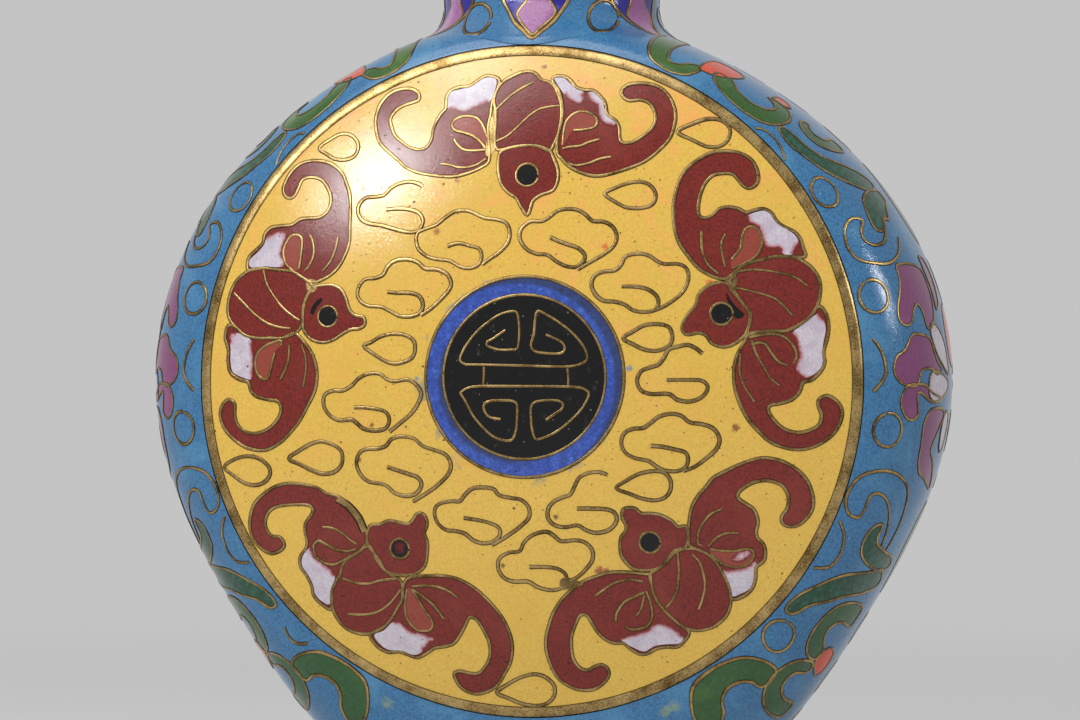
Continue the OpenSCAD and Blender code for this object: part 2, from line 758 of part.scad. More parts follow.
module mouth_rim() {
    lip_in = mouth_r - lip_overhang - enamel - wall - counter_enamel;
    base = vase_h - mouth_h;
    color(gilt)
        rotate_extrude($fn = round_fn)
            polygon([
                [lip_in, base], [mouth_r - lip_overhang / 2, base], [mouth_r, base + lip_chamfer],
                [mouth_r, vase_h - lip_chamfer], [mouth_r - lip_chamfer, vase_h],
                [lip_in + lip_chamfer, vase_h], [lip_in, vase_h - lip_chamfer]
            ]);
}

// Radius of the polished neck at a height
function neck_r_at(z) = lookup(z, [for (p = neck_profile) [p[1], p[0]]]);

// Neck motifs are drawn round one lappet, in millimetres round the neck and up from its foot
function on_neck(turn) =
    function (p, h)
        let (z = neck_foot_z + p[1], r = neck_r_at(z) + h, a = p[0] / neck_r * 180 / PI + turn)
        [r * sin(a), -r * cos(a), z];

lappet_shape = [
    [0, 0.3], [1.7, 2.2], [3.2, 5], [2.6, 8], [1.2, 10], [0, 10.4], [-1.2, 10], [-2.6, 8], [-3.2, 5],
    [-1.7, 2.2]
];
cobalt_shape = [
    [6.3, 5.4], [7.4, 7.6], [8, 10], [7.2, 11.4], [6.3, 11.8], [5.4, 11.4], [4.6, 10], [5.2, 7.6]
];
neck_circle_at = [6.3, 2.4];
neck_circle_r = 1.6;
collar_heights = [13.4, 15.4];

module each_lappet() {
    for (i = [0 : lappet_count - 1]) {
        $place = on_neck(360 / lappet_count * i);
        children();
    }
}

module neck_lappets() {
    color(mauve) each_lappet() inlay(lappet_shape, fit_gap, motif_rise, $place);
}

module neck_cobalt() {
    color(deep_blue) each_lappet() inlay(cobalt_shape, fit_gap, motif_rise, $place);
}

module neck_wires() {
    color(gilt) {
        each_lappet()
            wire_along(
                arc(neck_circle_r, 0, ring_turn, wire_ring_steps, neck_circle_at),
                -wire / 2, fit_gap, motif_rise, $place);
        for (h = collar_heights)
            translate([0, 0, neck_foot_z + h])
                rotate_extrude($fn = round_fn)
                    translate([neck_r + fit_gap, -wire / 2]) square([motif_rise, wire]);
    }
}

// ---- Foot ----

module foot_solid(profile) scale([1, foot_oval, 1]) rotate_extrude($fn = round_fn) polygon(profile);

// The ring is drawn past the table and cut off level, so that it stands on a true flat
module foot_ring() {
    color(gilt)
        difference() {
            foot_solid([
                [foot_top_in, foot_step_z], [foot_top_in, foot_h], [ankle_reach, foot_h],
                [ankle_reach, foot_h - enamel], [foot_reach - enamel, foot_band_h], [foot_reach, foot_band_h],
                [foot_reach, foot_chamfer], [foot_reach - foot_chamfer, 0],
                [foot_reach - foot_chamfer, -cut_past], [foot_reach - foot_skirt + foot_chamfer, -cut_past],
                [foot_reach - foot_skirt + foot_chamfer, 0], [foot_reach - foot_skirt, foot_chamfer],
                [foot_reach - foot_skirt, foot_step_z]
            ]);
            translate([-foot_reach, -foot_reach, -2 * foot_reach]) cube(2 * foot_reach);
        }
}

module foot_ground() {
    color(turquoise)
        foot_solid([
            [ankle_reach + fit_gap, foot_h - enamel], [ankle_reach + fit_gap, foot_h],
            [ankle_reach + enamel, foot_h], [foot_reach, foot_band_h + fit_gap],
            [foot_reach - enamel + fit_gap, foot_band_h + fit_gap]
        ]);
}

module base_plate() {
    color(copper)
        foot_solid([
            [0, foot_h - base_t], [0, foot_h],
            [foot_top_in - fit_gap, foot_h], [foot_top_in - fit_gap, foot_h - base_t]
        ]);
}

module base_lining() {
    color(turquoise)
        foot_solid([
            [0, foot_h - base_t - counter_enamel], [0, foot_h - base_t],
            [foot_top_in - fit_gap, foot_h - base_t],
            [foot_top_in - fit_gap, foot_h - base_t - counter_enamel]
        ]);
}

front_plate();
back_plate();
side_wall();
neck_tube();
mouth_rim();
foot_ring();
base_plate();
neck_lining();
base_lining();
front_band();
front_field();
front_bats();
front_wing_patches();
front_eyes();
front_bat_wires();
front_cloud_wires();
front_roundel_ring();
front_roundel_disc();
front_roundel_wires();
back_band();
back_field();
back_bats();
back_wing_patches();
back_eyes();
back_bat_wires();
back_cloud_wires();
back_roundel_ring();
back_roundel_disc();
back_roundel_wires();
side_ground();
lotus_petals();
lotus_hearts();
scroll_leaves();
orange_buds();
side_wires();
neck_ground();
neck_lappets();
neck_cobalt();
neck_wires();
foot_ground();
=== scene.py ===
# %% [markdown]
# # A cloisonne flask vase
#
# Cloisonne is copper with a drawing on it made of thin gilt wires on edge. Each cell between the
# wires is filled with coloured glass, fired, and polished down until wire and glass lie in one skin.
#
# The frame comes first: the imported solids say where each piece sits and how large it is. Every
# visible piece is then built again with a finer mesh in the same place.
import math

import bpy
import numpy as np
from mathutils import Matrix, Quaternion, Vector
from mathutils.geometry import delaunay_2d_cdt


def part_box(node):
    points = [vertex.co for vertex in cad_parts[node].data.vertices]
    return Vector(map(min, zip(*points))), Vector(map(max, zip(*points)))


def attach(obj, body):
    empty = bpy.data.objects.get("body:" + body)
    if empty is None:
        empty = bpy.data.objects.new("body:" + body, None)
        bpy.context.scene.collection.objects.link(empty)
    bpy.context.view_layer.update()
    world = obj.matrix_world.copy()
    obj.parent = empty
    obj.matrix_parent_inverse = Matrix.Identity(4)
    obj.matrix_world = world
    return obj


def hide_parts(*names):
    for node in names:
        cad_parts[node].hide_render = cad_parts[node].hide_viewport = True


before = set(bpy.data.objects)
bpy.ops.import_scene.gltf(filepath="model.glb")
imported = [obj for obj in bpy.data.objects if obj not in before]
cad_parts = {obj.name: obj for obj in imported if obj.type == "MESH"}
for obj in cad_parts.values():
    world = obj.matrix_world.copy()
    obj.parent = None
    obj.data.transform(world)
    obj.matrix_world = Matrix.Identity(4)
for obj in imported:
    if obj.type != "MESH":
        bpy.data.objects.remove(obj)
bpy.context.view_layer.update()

MM = 0.001
dice = np.random.default_rng(7)

# %% [markdown]
# ## Sizes
#
# Blender counts in metres, but a vase is easier to think of in millimetres, so lengths are in
# millimetres until a mesh is made. Sizes are read from the frame where a solid has them. The
# medallion's sphere follows from three of them: the band's radius, the depth of the rim and the
# depth of the face.

# %% Sizes from the frame
band_lo, band_hi = (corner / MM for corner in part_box("front_band"))
_, ground_hi = (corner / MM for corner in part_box("side_ground"))
disc_lo, _ = (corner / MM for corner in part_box("front_roundel_disc"))
ring_lo, ring_hi = (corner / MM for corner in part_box("front_roundel_ring"))
mouth_lo, mouth_hi = (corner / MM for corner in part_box("mouth_rim"))
_, foot_hi = (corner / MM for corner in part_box("foot_ring"))

SIDE_FLATS = 48
FIT_GAP = 0.02
medallion_z = (band_lo.z + band_hi.z) / 2
band_r = (band_hi.x - band_lo.x) / 2
medallion_r = (band_r + FIT_GAP) / math.cos(math.pi / SIDE_FLATS)
rim_y = ground_hi.y
dome_rise = -disc_lo.y - rim_y
dome_r = (medallion_r**2 + dome_rise**2) / (2 * dome_rise)
dome_y = dome_r - rim_y - dome_rise
rim_slope = math.asin(medallion_r / dome_r)
side_reach = ground_hi.x
mouth_r, mouth_z, vase_h = mouth_hi.x, mouth_lo.z, mouth_hi.z
foot_reach, foot_z = foot_hi.x, foot_hi.z
print("medallion radius", round(medallion_r, 2), "rim", round(rim_y, 2), "rise", round(dome_rise, 2))

# %% Sizes that the solids were drawn with
BAND_W = 1.2
SHOULDER_REACH, HAUNCH_REACH, TOE_REACH = 40.5, 43.6, 54.0
SHOULDER_ANGLE, HAUNCH_ANGLE, FOOT_ANGLE, TOE_ANGLE = 65.0, -30.0, -90.0, -100.0
FOOT_FLATNESS = 0.15
NECK_R, COLLAR_R, COLLAR_RISE, COLLAR_LIP = 12.05, 14.6, 3.7, 0.25
FLARE_H, LIP = 12.0, 0.6
field_r = medallion_r - BAND_W
ring_edge = (ring_hi - ring_lo).x / 2
neck_foot_z = medallion_z + math.sqrt(SHOULDER_REACH**2 - COLLAR_R**2)
neck_top_of_collar = neck_foot_z + COLLAR_LIP + COLLAR_RISE
flare_z = mouth_z - FLARE_H
print("yellow field radius", round(field_r, 2), "neck from", round(neck_foot_z, 2), "to", vase_h)

# %% [markdown]
# ## Three curved surfaces
#
# A cloisonne drawing is bent flat on a table and then laid on the copper. The same is done here:
# each surface is a function that turns two flat coordinates and a height above the polished skin
# into a point. One outline can then be laid on any surface, and wire and glass always meet.
#
# The medallion is a piece of a sphere. The side runs round the medallion: its first coordinate is an
# angle, and its second goes from the front rim (-1) over the mid-plane (0) to the back rim (1).


# %% The medallion's surface
def on_dome(x, z, height):
    radius = dome_r + height
    y = dome_y - np.sqrt(radius**2 - x**2 - z**2)
    return np.stack([x, y, medallion_z + z], -1)


# %% The side's outline, seen from the front
def blend(a, b, t):
    return a + (b - a) * t


def ease(t):
    return (1 - np.cos(np.pi * np.clip(t, 0, 1))) / 2


def mirrored_angle(angle):
    return np.where(angle > 90, 180 - angle, np.where(angle < -90, -180 - angle, angle))


def reach_at(angle):
    """How far the side stands from the medallion's axis in one direction."""
    b = mirrored_angle(angle)
    up = blend(side_reach, SHOULDER_REACH, ease(b / SHOULDER_ANGLE))
    down = blend(side_reach, HAUNCH_REACH, ease(b / HAUNCH_ANGLE))
    toe = blend(HAUNCH_REACH, TOE_REACH, ease((b - HAUNCH_ANGLE) / (TOE_ANGLE - HAUNCH_ANGLE)))
    return np.where(b >= 0, up, np.where(b >= HAUNCH_ANGLE, down, toe))


# %% The side's surface: it leaves the rim along the dome's slope and turns over at the mid-plane
def on_side(angle, across, height):
    below = (mirrored_angle(angle) - HAUNCH_ANGLE) / (FOOT_ANGLE - HAUNCH_ANGLE)
    flatness = blend(1, FOOT_FLATNESS, ease(below))
    t = 1 - np.abs(across)
    k = (1 - t) ** 2
    rim = medallion_r + height * math.sin(rim_slope)
    face = rim_y + height * math.cos(rim_slope)
    reach = reach_at(angle) + height
    shoulder = face - (reach - rim) * math.tan(rim_slope) * flatness
    r = blend(reach, rim, k)
    y = np.sign(across) * (face * k + 2 * t * (1 - t) * shoulder)
    turn = np.radians(angle)
    return np.stack([r * np.cos(turn), y, medallion_z + r * np.sin(turn)], -1)


# %% The flank's drawing coordinates: along the rim from the widest line, and out from the mid-plane
FLANK_UNIT = 0.75
FLANK_W = 18.6


def on_flank(side, face):
    def place(along, out, height):
        angle = along / FLANK_UNIT
        mirrored = np.where(angle < 0, -180 - angle, 180 - angle)
        across = face * np.clip(out / FLANK_W, -1, 1)
        return on_side(angle if side > 0 else mirrored, across, height)

    return place


print("widest point of the side at z", round(float(on_side(0.0, 0.0, 0.0)[2]), 2))

# %% [markdown]
# The neck is round, but the shoulder that it stands on isn't. So the neck's foot is found all the
# way round: the place and the slope of the shoulder at one radius, in every direction. A curve then
# leaves the shoulder along that slope and turns up into the straight neck. A boolean union with a
# bevel would need a remesh, and the drawing couldn't be laid on it.

# %% The shoulder round the neck
FILLET_R = 15.35
SLOPE_STEP = 0.4
compass = np.linspace(-np.pi, np.pi, 181)


def shoulder_height(radius):
    """Height of the side's surface above each compass direction, at one distance from the axis."""
    goal = radius * np.stack([np.sin(compass), -np.cos(compass)], -1)
    angle = np.degrees(np.arccos(np.clip(goal[:, 0] / SHOULDER_REACH, -1, 1)))
    across = goal[:, 1] / rim_y
    for _ in range(25):
        here = on_side(angle, across, 0.0)
        by_angle = (on_side(angle + 0.01, across, 0.0) - here) / 0.01
        by_across = (on_side(angle, across + 1e-4, 0.0) - here) / 1e-4
        miss = goal - here[:, :2]
        det = by_angle[:, 0] * by_across[:, 1] - by_across[:, 0] * by_angle[:, 1]
        det = np.where(np.abs(det) < 1e-6, 1e-6, det)
        angle = angle + 0.7 * (miss[:, 0] * by_across[:, 1] - by_across[:, 0] * miss[:, 1]) / det
        step = 0.7 * (by_angle[:, 0] * miss[:, 1] - miss[:, 0] * by_angle[:, 1]) / det
        across = np.clip(across + step, -0.999, 0.999)
    return on_side(angle, across, 0.0)[:, 2]


fillet_z = shoulder_height(FILLET_R)
fillet_slope = (shoulder_height(FILLET_R - SLOPE_STEP) - fillet_z) / SLOPE_STEP
steepest = (neck_top_of_collar - 0.8 - fillet_z) / (FILLET_R - NECK_R)
fillet_slope = np.clip(fillet_slope, 0.1, steepest)
print("neck's foot: z", round(fillet_z.min(), 2), "to", round(fillet_z.max(), 2))


# %% The neck's surface
def neck_radius(turn, z):
    """Radius of the polished neck at a height, in one direction of the compass."""
    start = np.interp(turn, compass, fillet_z)
    knee = start + np.interp(turn, compass, fillet_slope) * (FILLET_R - NECK_R)
    a = start - 2 * knee + neck_top_of_collar
    b = 2 * (knee - start)
    c = start - z
    root = np.sqrt(np.maximum(b * b - 4 * a * c, 0))
    t = np.clip(2 * -c / (b + root), 0, 1)
    collar = FILLET_R * (1 - t) ** 2 + NECK_R * (1 - (1 - t) ** 2)
    rise = np.clip((z - flare_z) / FLARE_H, 0, 1)
    flare = blend(NECK_R, mouth_r - LIP, 1 - np.cos(np.pi / 2 * rise))
    return np.where(z > flare_z, flare, collar)


def on_neck(turn):
    """Neck drawings go round from the middle of one lappet, and up from the neck's foot."""

    def place(along, up, height):
        z = neck_foot_z + up
        r = NECK_R
        for _ in range(4):
            a = (along / r + turn + np.pi) % (2 * np.pi) - np.pi
            r = neck_radius(a, z)
        r = r + height
        return np.stack([r * np.sin(a), -r * np.cos(a), z + 0 * a], -1)

    return place


# %% [markdown]
# ## Building pieces
#
# A piece gathers its vertices and faces, and becomes one object. It stands for one solid of the
# frame, hides that solid and takes a look by name. Thousands of small objects would be slow, and
# the frame asks for one piece in each solid's place.
#
# Each vertex also carries a "tone", a number that the piece's look may read: oxide and painted
# shade on the sides of a wire and on the band's edges, or the dark glass of some leaves.

# %% A piece under construction, and the looks that pieces take by name
LOOKS = {}


class Piece:
    def __init__(self):
        self.points, self.faces, self.tones, self.count = [], [], [], 0

    def add(self, points, faces, tone=0.0):
        points = np.asarray(points, float).reshape(-1, 3)
        self.points.append(points)
        self.faces += [[i + self.count for i in face] for face in faces]
        self.tones.append(np.broadcast_to(np.asarray(tone, float), len(points)))
        self.count += len(points)

    def grid(self, points, around=False, along=False, tone=0.0, flip=False):
        """Faces over a table of points, closed round its rows or its columns where asked."""
        rows, cols = points.shape[:2]
        i = np.arange(rows if around else rows - 1)[:, None]
        j = np.arange(cols if along else cols - 1)[None, :]
        i2, j2 = (i + 1) % rows, (j + 1) % cols
        corners = [i * cols + j, i * cols + j2, i2 * cols + j2, i2 * cols + j]
        faces = np.stack(corners[::-1] if flip else corners, -1).reshape(-1, 4)
        self.add(points, faces.tolist(), tone)

    def make(self, name, look, solid, half_turn=False):
        points = np.vstack(self.points) * MM
        if half_turn:
            points = points * [-1, -1, 1]
        mesh = bpy.data.meshes.new(name)
        mesh.from_pydata(points.tolist(), [], self.faces)
        mesh.polygons.foreach_set("use_smooth", [True] * len(mesh.polygons))
        tone = mesh.attributes.new("tone", "FLOAT", "POINT")
        tone.data.foreach_set("value", np.concatenate(self.tones))
        mesh.materials.append(LOOKS[look])
        piece = bpy.data.objects.new(name, mesh)
        bpy.context.scene.collection.objects.link(piece)
        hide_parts(solid)
        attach(piece, "root")
        print(f"{name}: {self.count} points, {len(self.faces)} faces")


# %% Smooth lines
def smooth_line(points, closed, step):
    """A smooth curve through the points, in even steps."""
    p = np.asarray(points, float)
    ends = (p[-1:], p[:2]) if closed else (2 * p[:1] - p[1:2], 2 * p[-1:] - p[-2:-1])
    ring = np.vstack([ends[0], p, ends[1]])
    t = np.linspace(0, 1, 8, endpoint=False)[:, None]
    pieces = []
    for a, b, c, d in zip(ring[:-3], ring[1:-2], ring[2:-1], ring[3:]):
        straight = 2 * b + (c - a) * t
        bend = (2 * a - 5 * b + 4 * c - d) * t**2
        twist = (3 * b - a - 3 * c + d) * t**3
        pieces.append(0.5 * (straight + bend + twist))
    fine = np.vstack([*pieces, p[:1] if closed else p[-1:]])
    travelled = np.r_[0, np.cumsum(np.linalg.norm(np.diff(fine, axis=0), axis=1))]
    at = np.linspace(0, travelled[-1], max(4, round(travelled[-1] / step)) + 1)
    line = np.stack([np.interp(at, travelled, fine[:, k]) for k in (0, 1)], 1)
    return line[:-1] if closed else line


def across_line(line, closed):
    ahead = np.roll(line, -1, 0) - np.roll(line, 1, 0) if closed else np.gradient(line, axis=0)
    ahead /= np.linalg.norm(ahead, axis=1, keepdims=True) + 1e-9
    return np.stack([-ahead[:, 1], ahead[:, 0]], 1)


def outlines(text):
    """Reads lines by kind: a word, then its points, over as many rows as they need."""
    found = {}
    for word in text.split():
        if word.isalpha():
            found.setdefault(word, []).append([])
            latest = found[word][-1]
        else:
            latest.append(float(word))
    return {kind: [np.reshape(line, (-1, 2)) for line in lines] for kind, lines in found.items()}


def arc(centre, r, start, end, steps):
    a = np.radians(np.linspace(start, end, steps))
    return np.stack([centre[0] + r * np.cos(a), centre[1] + r * np.sin(a)], 1)


# %% [markdown]
# ### Wires
#
# The real wire is a flat ribbon on edge, ground off level with the glass, with its edges a little
# rounded by the polishing. A dark line is painted on each side, partly oxide and partly painted
# shade in the groove beside the wire. A curve object with a bevel has one section all the way. A
# swept strip can follow the curved surface, and can be a little wider here and thinner there, as a
# hand-bent wire is.

# %% The wire's section: across, up, and how dark it is painted there (oxide and painted shade)
WIRE_SECTION = np.array([
    (-1, -1, 1), (-1, 0.3, 1), (-0.68, 0.85, 0.7), (-0.36, 0.98, 0),
    (0.36, 0.98, 0), (0.68, 0.85, 0.7), (1, 0.3, 1), (1, -1, 1),
])
WIRE, WIRE_PROUD, WIRE_SUNK = 0.44, 0.09, 0.3
WIRE_STEP = 0.22
UNEVEN = 0.13


def wander(count, every=14):
    """Slow random change between -1 and 1 along a line."""
    knots = dice.uniform(-1, 1, count // every + 3)
    return np.interp(np.arange(count) / every, np.arange(len(knots)), knots)


def faces_out(place, u, v):
    """Whether a drawing's left-to-right and upward directions face out of the surface it lies on."""
    here, right, up, out = (
        place(np.array([a]), np.array([b]), h)[0]
        for a, b, h in ((u, v, 0.0), (u + 0.01, v, 0.0), (u, v + 0.01, 0.0), (u, v, 0.05))
    )
    return np.dot(np.cross(right - here, up - here), out - here) > 0


# %% Sweeping a wire
def add_wire(piece, points, place, closed=False, width=WIRE, proud=WIRE_PROUD, step=WIRE_STEP):
    line = smooth_line(points, closed, step)
    n = len(line)
    half = width / 2 * (1 + UNEVEN * wander(n))
    if closed:
        half[-6:] = np.linspace(half[-7], half[0], 7)[1:]
    side = across_line(line, closed)
    flat = line[:, None] + side[:, None] * (half[:, None] * WIRE_SECTION[:, 0])[..., None]
    rise = WIRE_SECTION[:, 1] * np.where(WIRE_SECTION[:, 1] < 0, WIRE_SUNK, proud)
    height = np.broadcast_to(rise, (n, len(rise)))
    table = place(flat[..., 0], flat[..., 1], height)
    flip = not faces_out(place, *line[0])
    piece.grid(table, around=closed, flip=flip, tone=np.tile(WIRE_SECTION[:, 2], n))
    if not closed:
        order = list(range(len(rise)))
        piece.add(table[0], [order if flip else order[::-1]])
        piece.add(table[-1], [order[::-1] if flip else order])


# %% [markdown]
# ### Cells
#
# A cell of glass is a flat outline filled with small triangles, so that it follows the curved surface
# below it. One large face would cut through the dome. Its edge goes down like a wall and hides under
# the wire.


# %% Measuring outlines
def inside(outline, points):
    """Which points lie within a closed outline."""
    x, y = points[:, 0, None], points[:, 1, None]
    ax, ay = outline[:, 0], outline[:, 1]
    bx, by = np.roll(ax, -1), np.roll(ay, -1)
    crosses = ((ay > y) != (by > y)) & (x < (bx - ax) * (y - ay) / (by - ay + 1e-12) + ax)
    return crosses.sum(1) % 2 == 1


def nearest(points, targets):
    """How far each point is from the nearest target."""
    gaps = points[:, None] - targets[None]
    return np.sqrt((gaps**2).sum(-1)).min(1)


# %% Filling a cell
OUTLINE_STEP = 0.3
WALL_DEPTH = 0.2
TRIANGLE_H = 0.87
FADE_W = 0.9


def dots_within(outline, spacing):
    """An even pattern of triangles' corners, clear of the outline itself."""
    lo, hi = outline.min(0), outline.max(0)
    dots = []
    for k, y in enumerate(np.arange(lo[1], hi[1], spacing * TRIANGLE_H)):
        dots += [(x, y) for x in np.arange(lo[0] + spacing / 2 * (k % 2), hi[0], spacing)]
    dots = np.array(dots).reshape(-1, 2)
    dots = dots[inside(outline, dots)]
    return dots[nearest(dots, outline) > spacing * 0.4]


def add_cell(piece, points, place, height, tone=0.0, spacing=0.8, smooth=True, fade_from=None):
    """Fills an outline. Where fade_from is given, the tone rises away from those points."""
    outline = smooth_line(points, True, OUTLINE_STEP) if smooth else np.asarray(points, float)
    corners = [Vector(p) for p in np.vstack([outline, dots_within(outline, spacing)])]
    border = [list(range(len(outline)))]
    verts, _, tris, *_ = delaunay_2d_cdt(corners, [], border, 1, 1e-5)
    flat = np.array([tuple(v) for v in verts])
    if not faces_out(place, *flat[0]):
        tris = [face[::-1] for face in tris]
    if fade_from is not None:
        tone = np.clip(nearest(flat, fade_from) / FADE_W, 0, 1) if len(fade_from) else 1.0
    top = place(flat[:, 0], flat[:, 1], height)
    base = place(flat[:, 0], flat[:, 1], -WALL_DEPTH)
    piece.add(top, tris, tone)
    edges = dict.fromkeys(pair for face in tris for pair in zip(face, [*face[1:], face[0]]))
    rim = [(a, b) for a, b in edges if (b, a) not in edges]
    walls = np.array([[top[a], base[a], base[b], top[b]] for a, b in rim])
    wall_tone = np.repeat(np.broadcast_to(tone, len(flat))[[a for a, _ in rim]], 4)
    piece.add(walls, [[4 * k + i for i in range(4)] for k in range(len(rim))], wall_tone)


# %% [markdown]
# ## Looks
#
# A procedural material is a net of nodes. Written out link by link it is hard to read, so shader
# sums are written as Python sums here. A small class wraps a socket, so that adding or multiplying
# two of them makes the node that does it. One method adds any other node.


# %% Sockets with arithmetic
class Value:
    def __init__(self, nodes, socket):
        self.nodes, self.socket = nodes, socket

    def math(self, operation, *values):
        return self.nodes.add("ShaderNodeMath", {"operation": operation}, dict(enumerate(values)))[0]

    def __add__(self, other):
        return self.math("ADD", self, other)

    def __sub__(self, other):
        return self.math("SUBTRACT", self, other)

    def __rsub__(self, other):
        return self.math("SUBTRACT", other, self)

    def __mul__(self, other):
        return self.math("MULTIPLY", self, other)

    def __truediv__(self, other):
        return self.math("DIVIDE", self, other)

    def __rtruediv__(self, other):
        return self.math("DIVIDE", other, self)

    __radd__, __rmul__ = __add__, __mul__

    def at_least(self, other):
        return self.math("MAXIMUM", self, other)

    def smooth(self, low, high):
        """0 below low, 1 above high, with a smooth step between."""
        settings = {"interpolation_type": "SMOOTHSTEP"}
        sockets = {"Value": self, "From Min": low, "From Max": high}
        return self.nodes.add("ShaderNodeMapRange", settings, sockets)["Result"]


class Outputs:
    def __init__(self, nodes, node):
        self.nodes, self.node = nodes, node

    def __getitem__(self, key):
        return Value(self.nodes, self.node.outputs[key])


# %% A net of nodes
class Nodes:
    def __init__(self, tree):
        self.tree = tree
        tree.nodes.clear()

    def add(self, kind, settings=None, sockets=None):
        node = self.tree.nodes.new(kind)
        for key, value in (settings or {}).items():
            setattr(node, key, value)
        for key, value in (sockets or {}).items():
            if isinstance(value, Value):
                self.tree.links.new(value.socket, node.inputs[key])
            else:
                node.inputs[key].default_value = value
        return Outputs(self, node)


# %% A material's own net, with the patterns that the looks are made of
class Look(Nodes):
    """A node material whose positions are in millimetres."""

    def __init__(self, name):
        self.material = bpy.data.materials.new(name)
        self.material.use_nodes = True
        super().__init__(self.material.node_tree)
        metres = self.add("ShaderNodeTexCoord")["Object"]
        self.place = self.vector("SCALE", metres, {"Scale": 1 / MM})

    def vector(self, operation, a, more):
        node = self.add("ShaderNodeVectorMath", {"operation": operation}, {0: a, **more})
        return node["Value" if operation == "DISTANCE" else "Vector"]

    def mix(self, factor, a, b, how="MIX"):
        settings = {"data_type": "RGBA", "blend_type": how}
        return self.add("ShaderNodeMix", settings, {0: factor, 6: a, 7: b})[2]

    def noise(self, size, detail=3.0, roughness=0.55, warp=0.0):
        """Noise between 0 and 1 whose blots are about the given size."""
        sockets = {"Vector": self.place, "Scale": 1 / size, "Detail": detail}
        sockets |= {"Roughness": roughness, "Distortion": warp}
        return self.add("ShaderNodeTexNoise", {}, sockets)["Fac"]

    def dots(self, spacing, radius, share):
        """Small round dots: 1 in their middle, on some of the cells of an uneven grid."""
        sockets = {"Vector": self.place, "Scale": 1 / spacing}
        cells = self.add("ShaderNodeTexVoronoi", {}, sockets)
        chance = self.add("ShaderNodeSeparateColor", {}, {0: cells["Color"]})
        size = radius / spacing * (0.5 + chance["Green"])
        dot = 1.0 - (cells["Distance"] / size).smooth(0.6, 1.0)
        return dot * chance["Red"].smooth(1 - share - 0.01, 1 - share + 0.01)

    def spot(self, x, z, radius, soft=0.5, y=None):
        """1 near one point of the front medallion, 0 away from it."""
        if y is None:
            y = float(on_dome(np.array(float(x)), np.array(float(z)), 0.0)[1])
        far = self.vector("DISTANCE", self.place, {1: (x, y, medallion_z + z)})
        uneven = far + (self.noise(radius * 0.9, 3.0, 0.7) - 0.5) * (radius * 2.5)
        return 1.0 - uneven.smooth(radius * (1 - soft), radius * (1 + soft))

    def radius(self):
        """Distance from the axis of the medallions."""
        flat = self.vector("MULTIPLY", self.place, {1: (1, 0, 1)})
        return self.vector("DISTANCE", flat, {1: (0, 0, medallion_z)})

    def tone(self):
        return self.add("ShaderNodeAttribute", {"attribute_name": "tone"})["Fac"]

    def finish(self, sockets, heights=()):
        """Sets the surface: its own sockets, and bumps given as (height, depth in mm)."""
        normal = None
        for height, depth in heights:
            bump = {"Height": height, "Distance": depth * MM, "Strength": 1.0}
            if normal:
                bump["Normal"] = normal
            normal = self.add("ShaderNodeBump", {}, bump)["Normal"]
        if normal:
            sockets["Normal"] = normal
        shader = self.add("ShaderNodeBsdfPrincipled", {}, sockets)["BSDF"]
        self.add("ShaderNodeOutputMaterial", {}, {"Surface": shader})
        print(f"{self.material.name}: {len(self.tree.nodes)} nodes")
        return self.material


def srgb(red, green, blue):
    """A colour as the eye reads it, 0 to 255, turned into light."""
    parts = [c / 255 for c in (red, green, blue)]
    return (*[c / 12.92 if c <= 0.04045 else ((c + 0.055) / 1.055) ** 2.4 for c in parts], 1.0)


# %% [markdown]
# ### Enamel
#
# Enamel is ground glass that was fired and then polished. Up close it has a fine grain, slow clouds
# of colour, open bubbles that the polishing cut through, and a skin that isn't quite level. A plain
# glossy colour would look like plastic. Here two noises mix three shades, dots of two sizes make
# the bubbles, and the same patterns go into the roughness and the bumps, so that they belong together.

# %% Enamel
BUBBLE_SHADE = (0.16, 0.1, 0.07, 1.0)
SKIN_BUMP, GRAIN_BUMP, BUBBLE_BUMP = 0.012, 0.018, 0.06


def enamel(
    name, base, grain, cloud, grain_amount=0.35, cloud_amount=0.6, pits=0.35, stains=None, ior=1.56
):
    look = Look(name)
    base, grain, cloud = (srgb(*shade) for shade in (base, grain, cloud))
    fine = look.noise(0.26, 4.0, 0.65)
    slow = look.noise(7.0, 4.0, 0.6, 0.6)
    colour = look.mix(fine.smooth(0.38, 0.66) * grain_amount, base, grain)
    colour = look.mix(slow.smooth(0.45, 0.8) * cloud_amount, colour, cloud)
    if stains:
        colour = stains(look, colour)
    pit = look.dots(1.9, 0.14, pits * 0.8)
    pin = look.dots(0.75, 0.085, pits)
    dark = look.mix(1.0, colour, BUBBLE_SHADE, "MULTIPLY")
    colour = look.mix((pit * 0.9).at_least(pin * 0.7), colour, dark)
    rough = 0.1 + fine * 0.08 + slow.smooth(0.5, 0.8) * 0.05 + pit * 0.3
    skin = look.noise(2.6, 2.0, 0.5)
    open_bubbles = 1.0 - pit.at_least(pin * 0.6)
    return look.finish(
        {"Base Color": colour, "Roughness": rough, "IOR": ior},
        [(skin, SKIN_BUMP), (fine, GRAIN_BUMP), (open_bubbles, BUBBLE_BUMP)],
    )


# %% [markdown]
# ### The firing's marks
#
# No two enamels came out of the kiln alike. The yellow took up orange haze and rusty specks near the
# top, and green-grey runs round the blue ring. A single soot mark or drip has a place of its own, so
# it is a spot, set by its distance from one point. All else is noise, so that it never repeats.

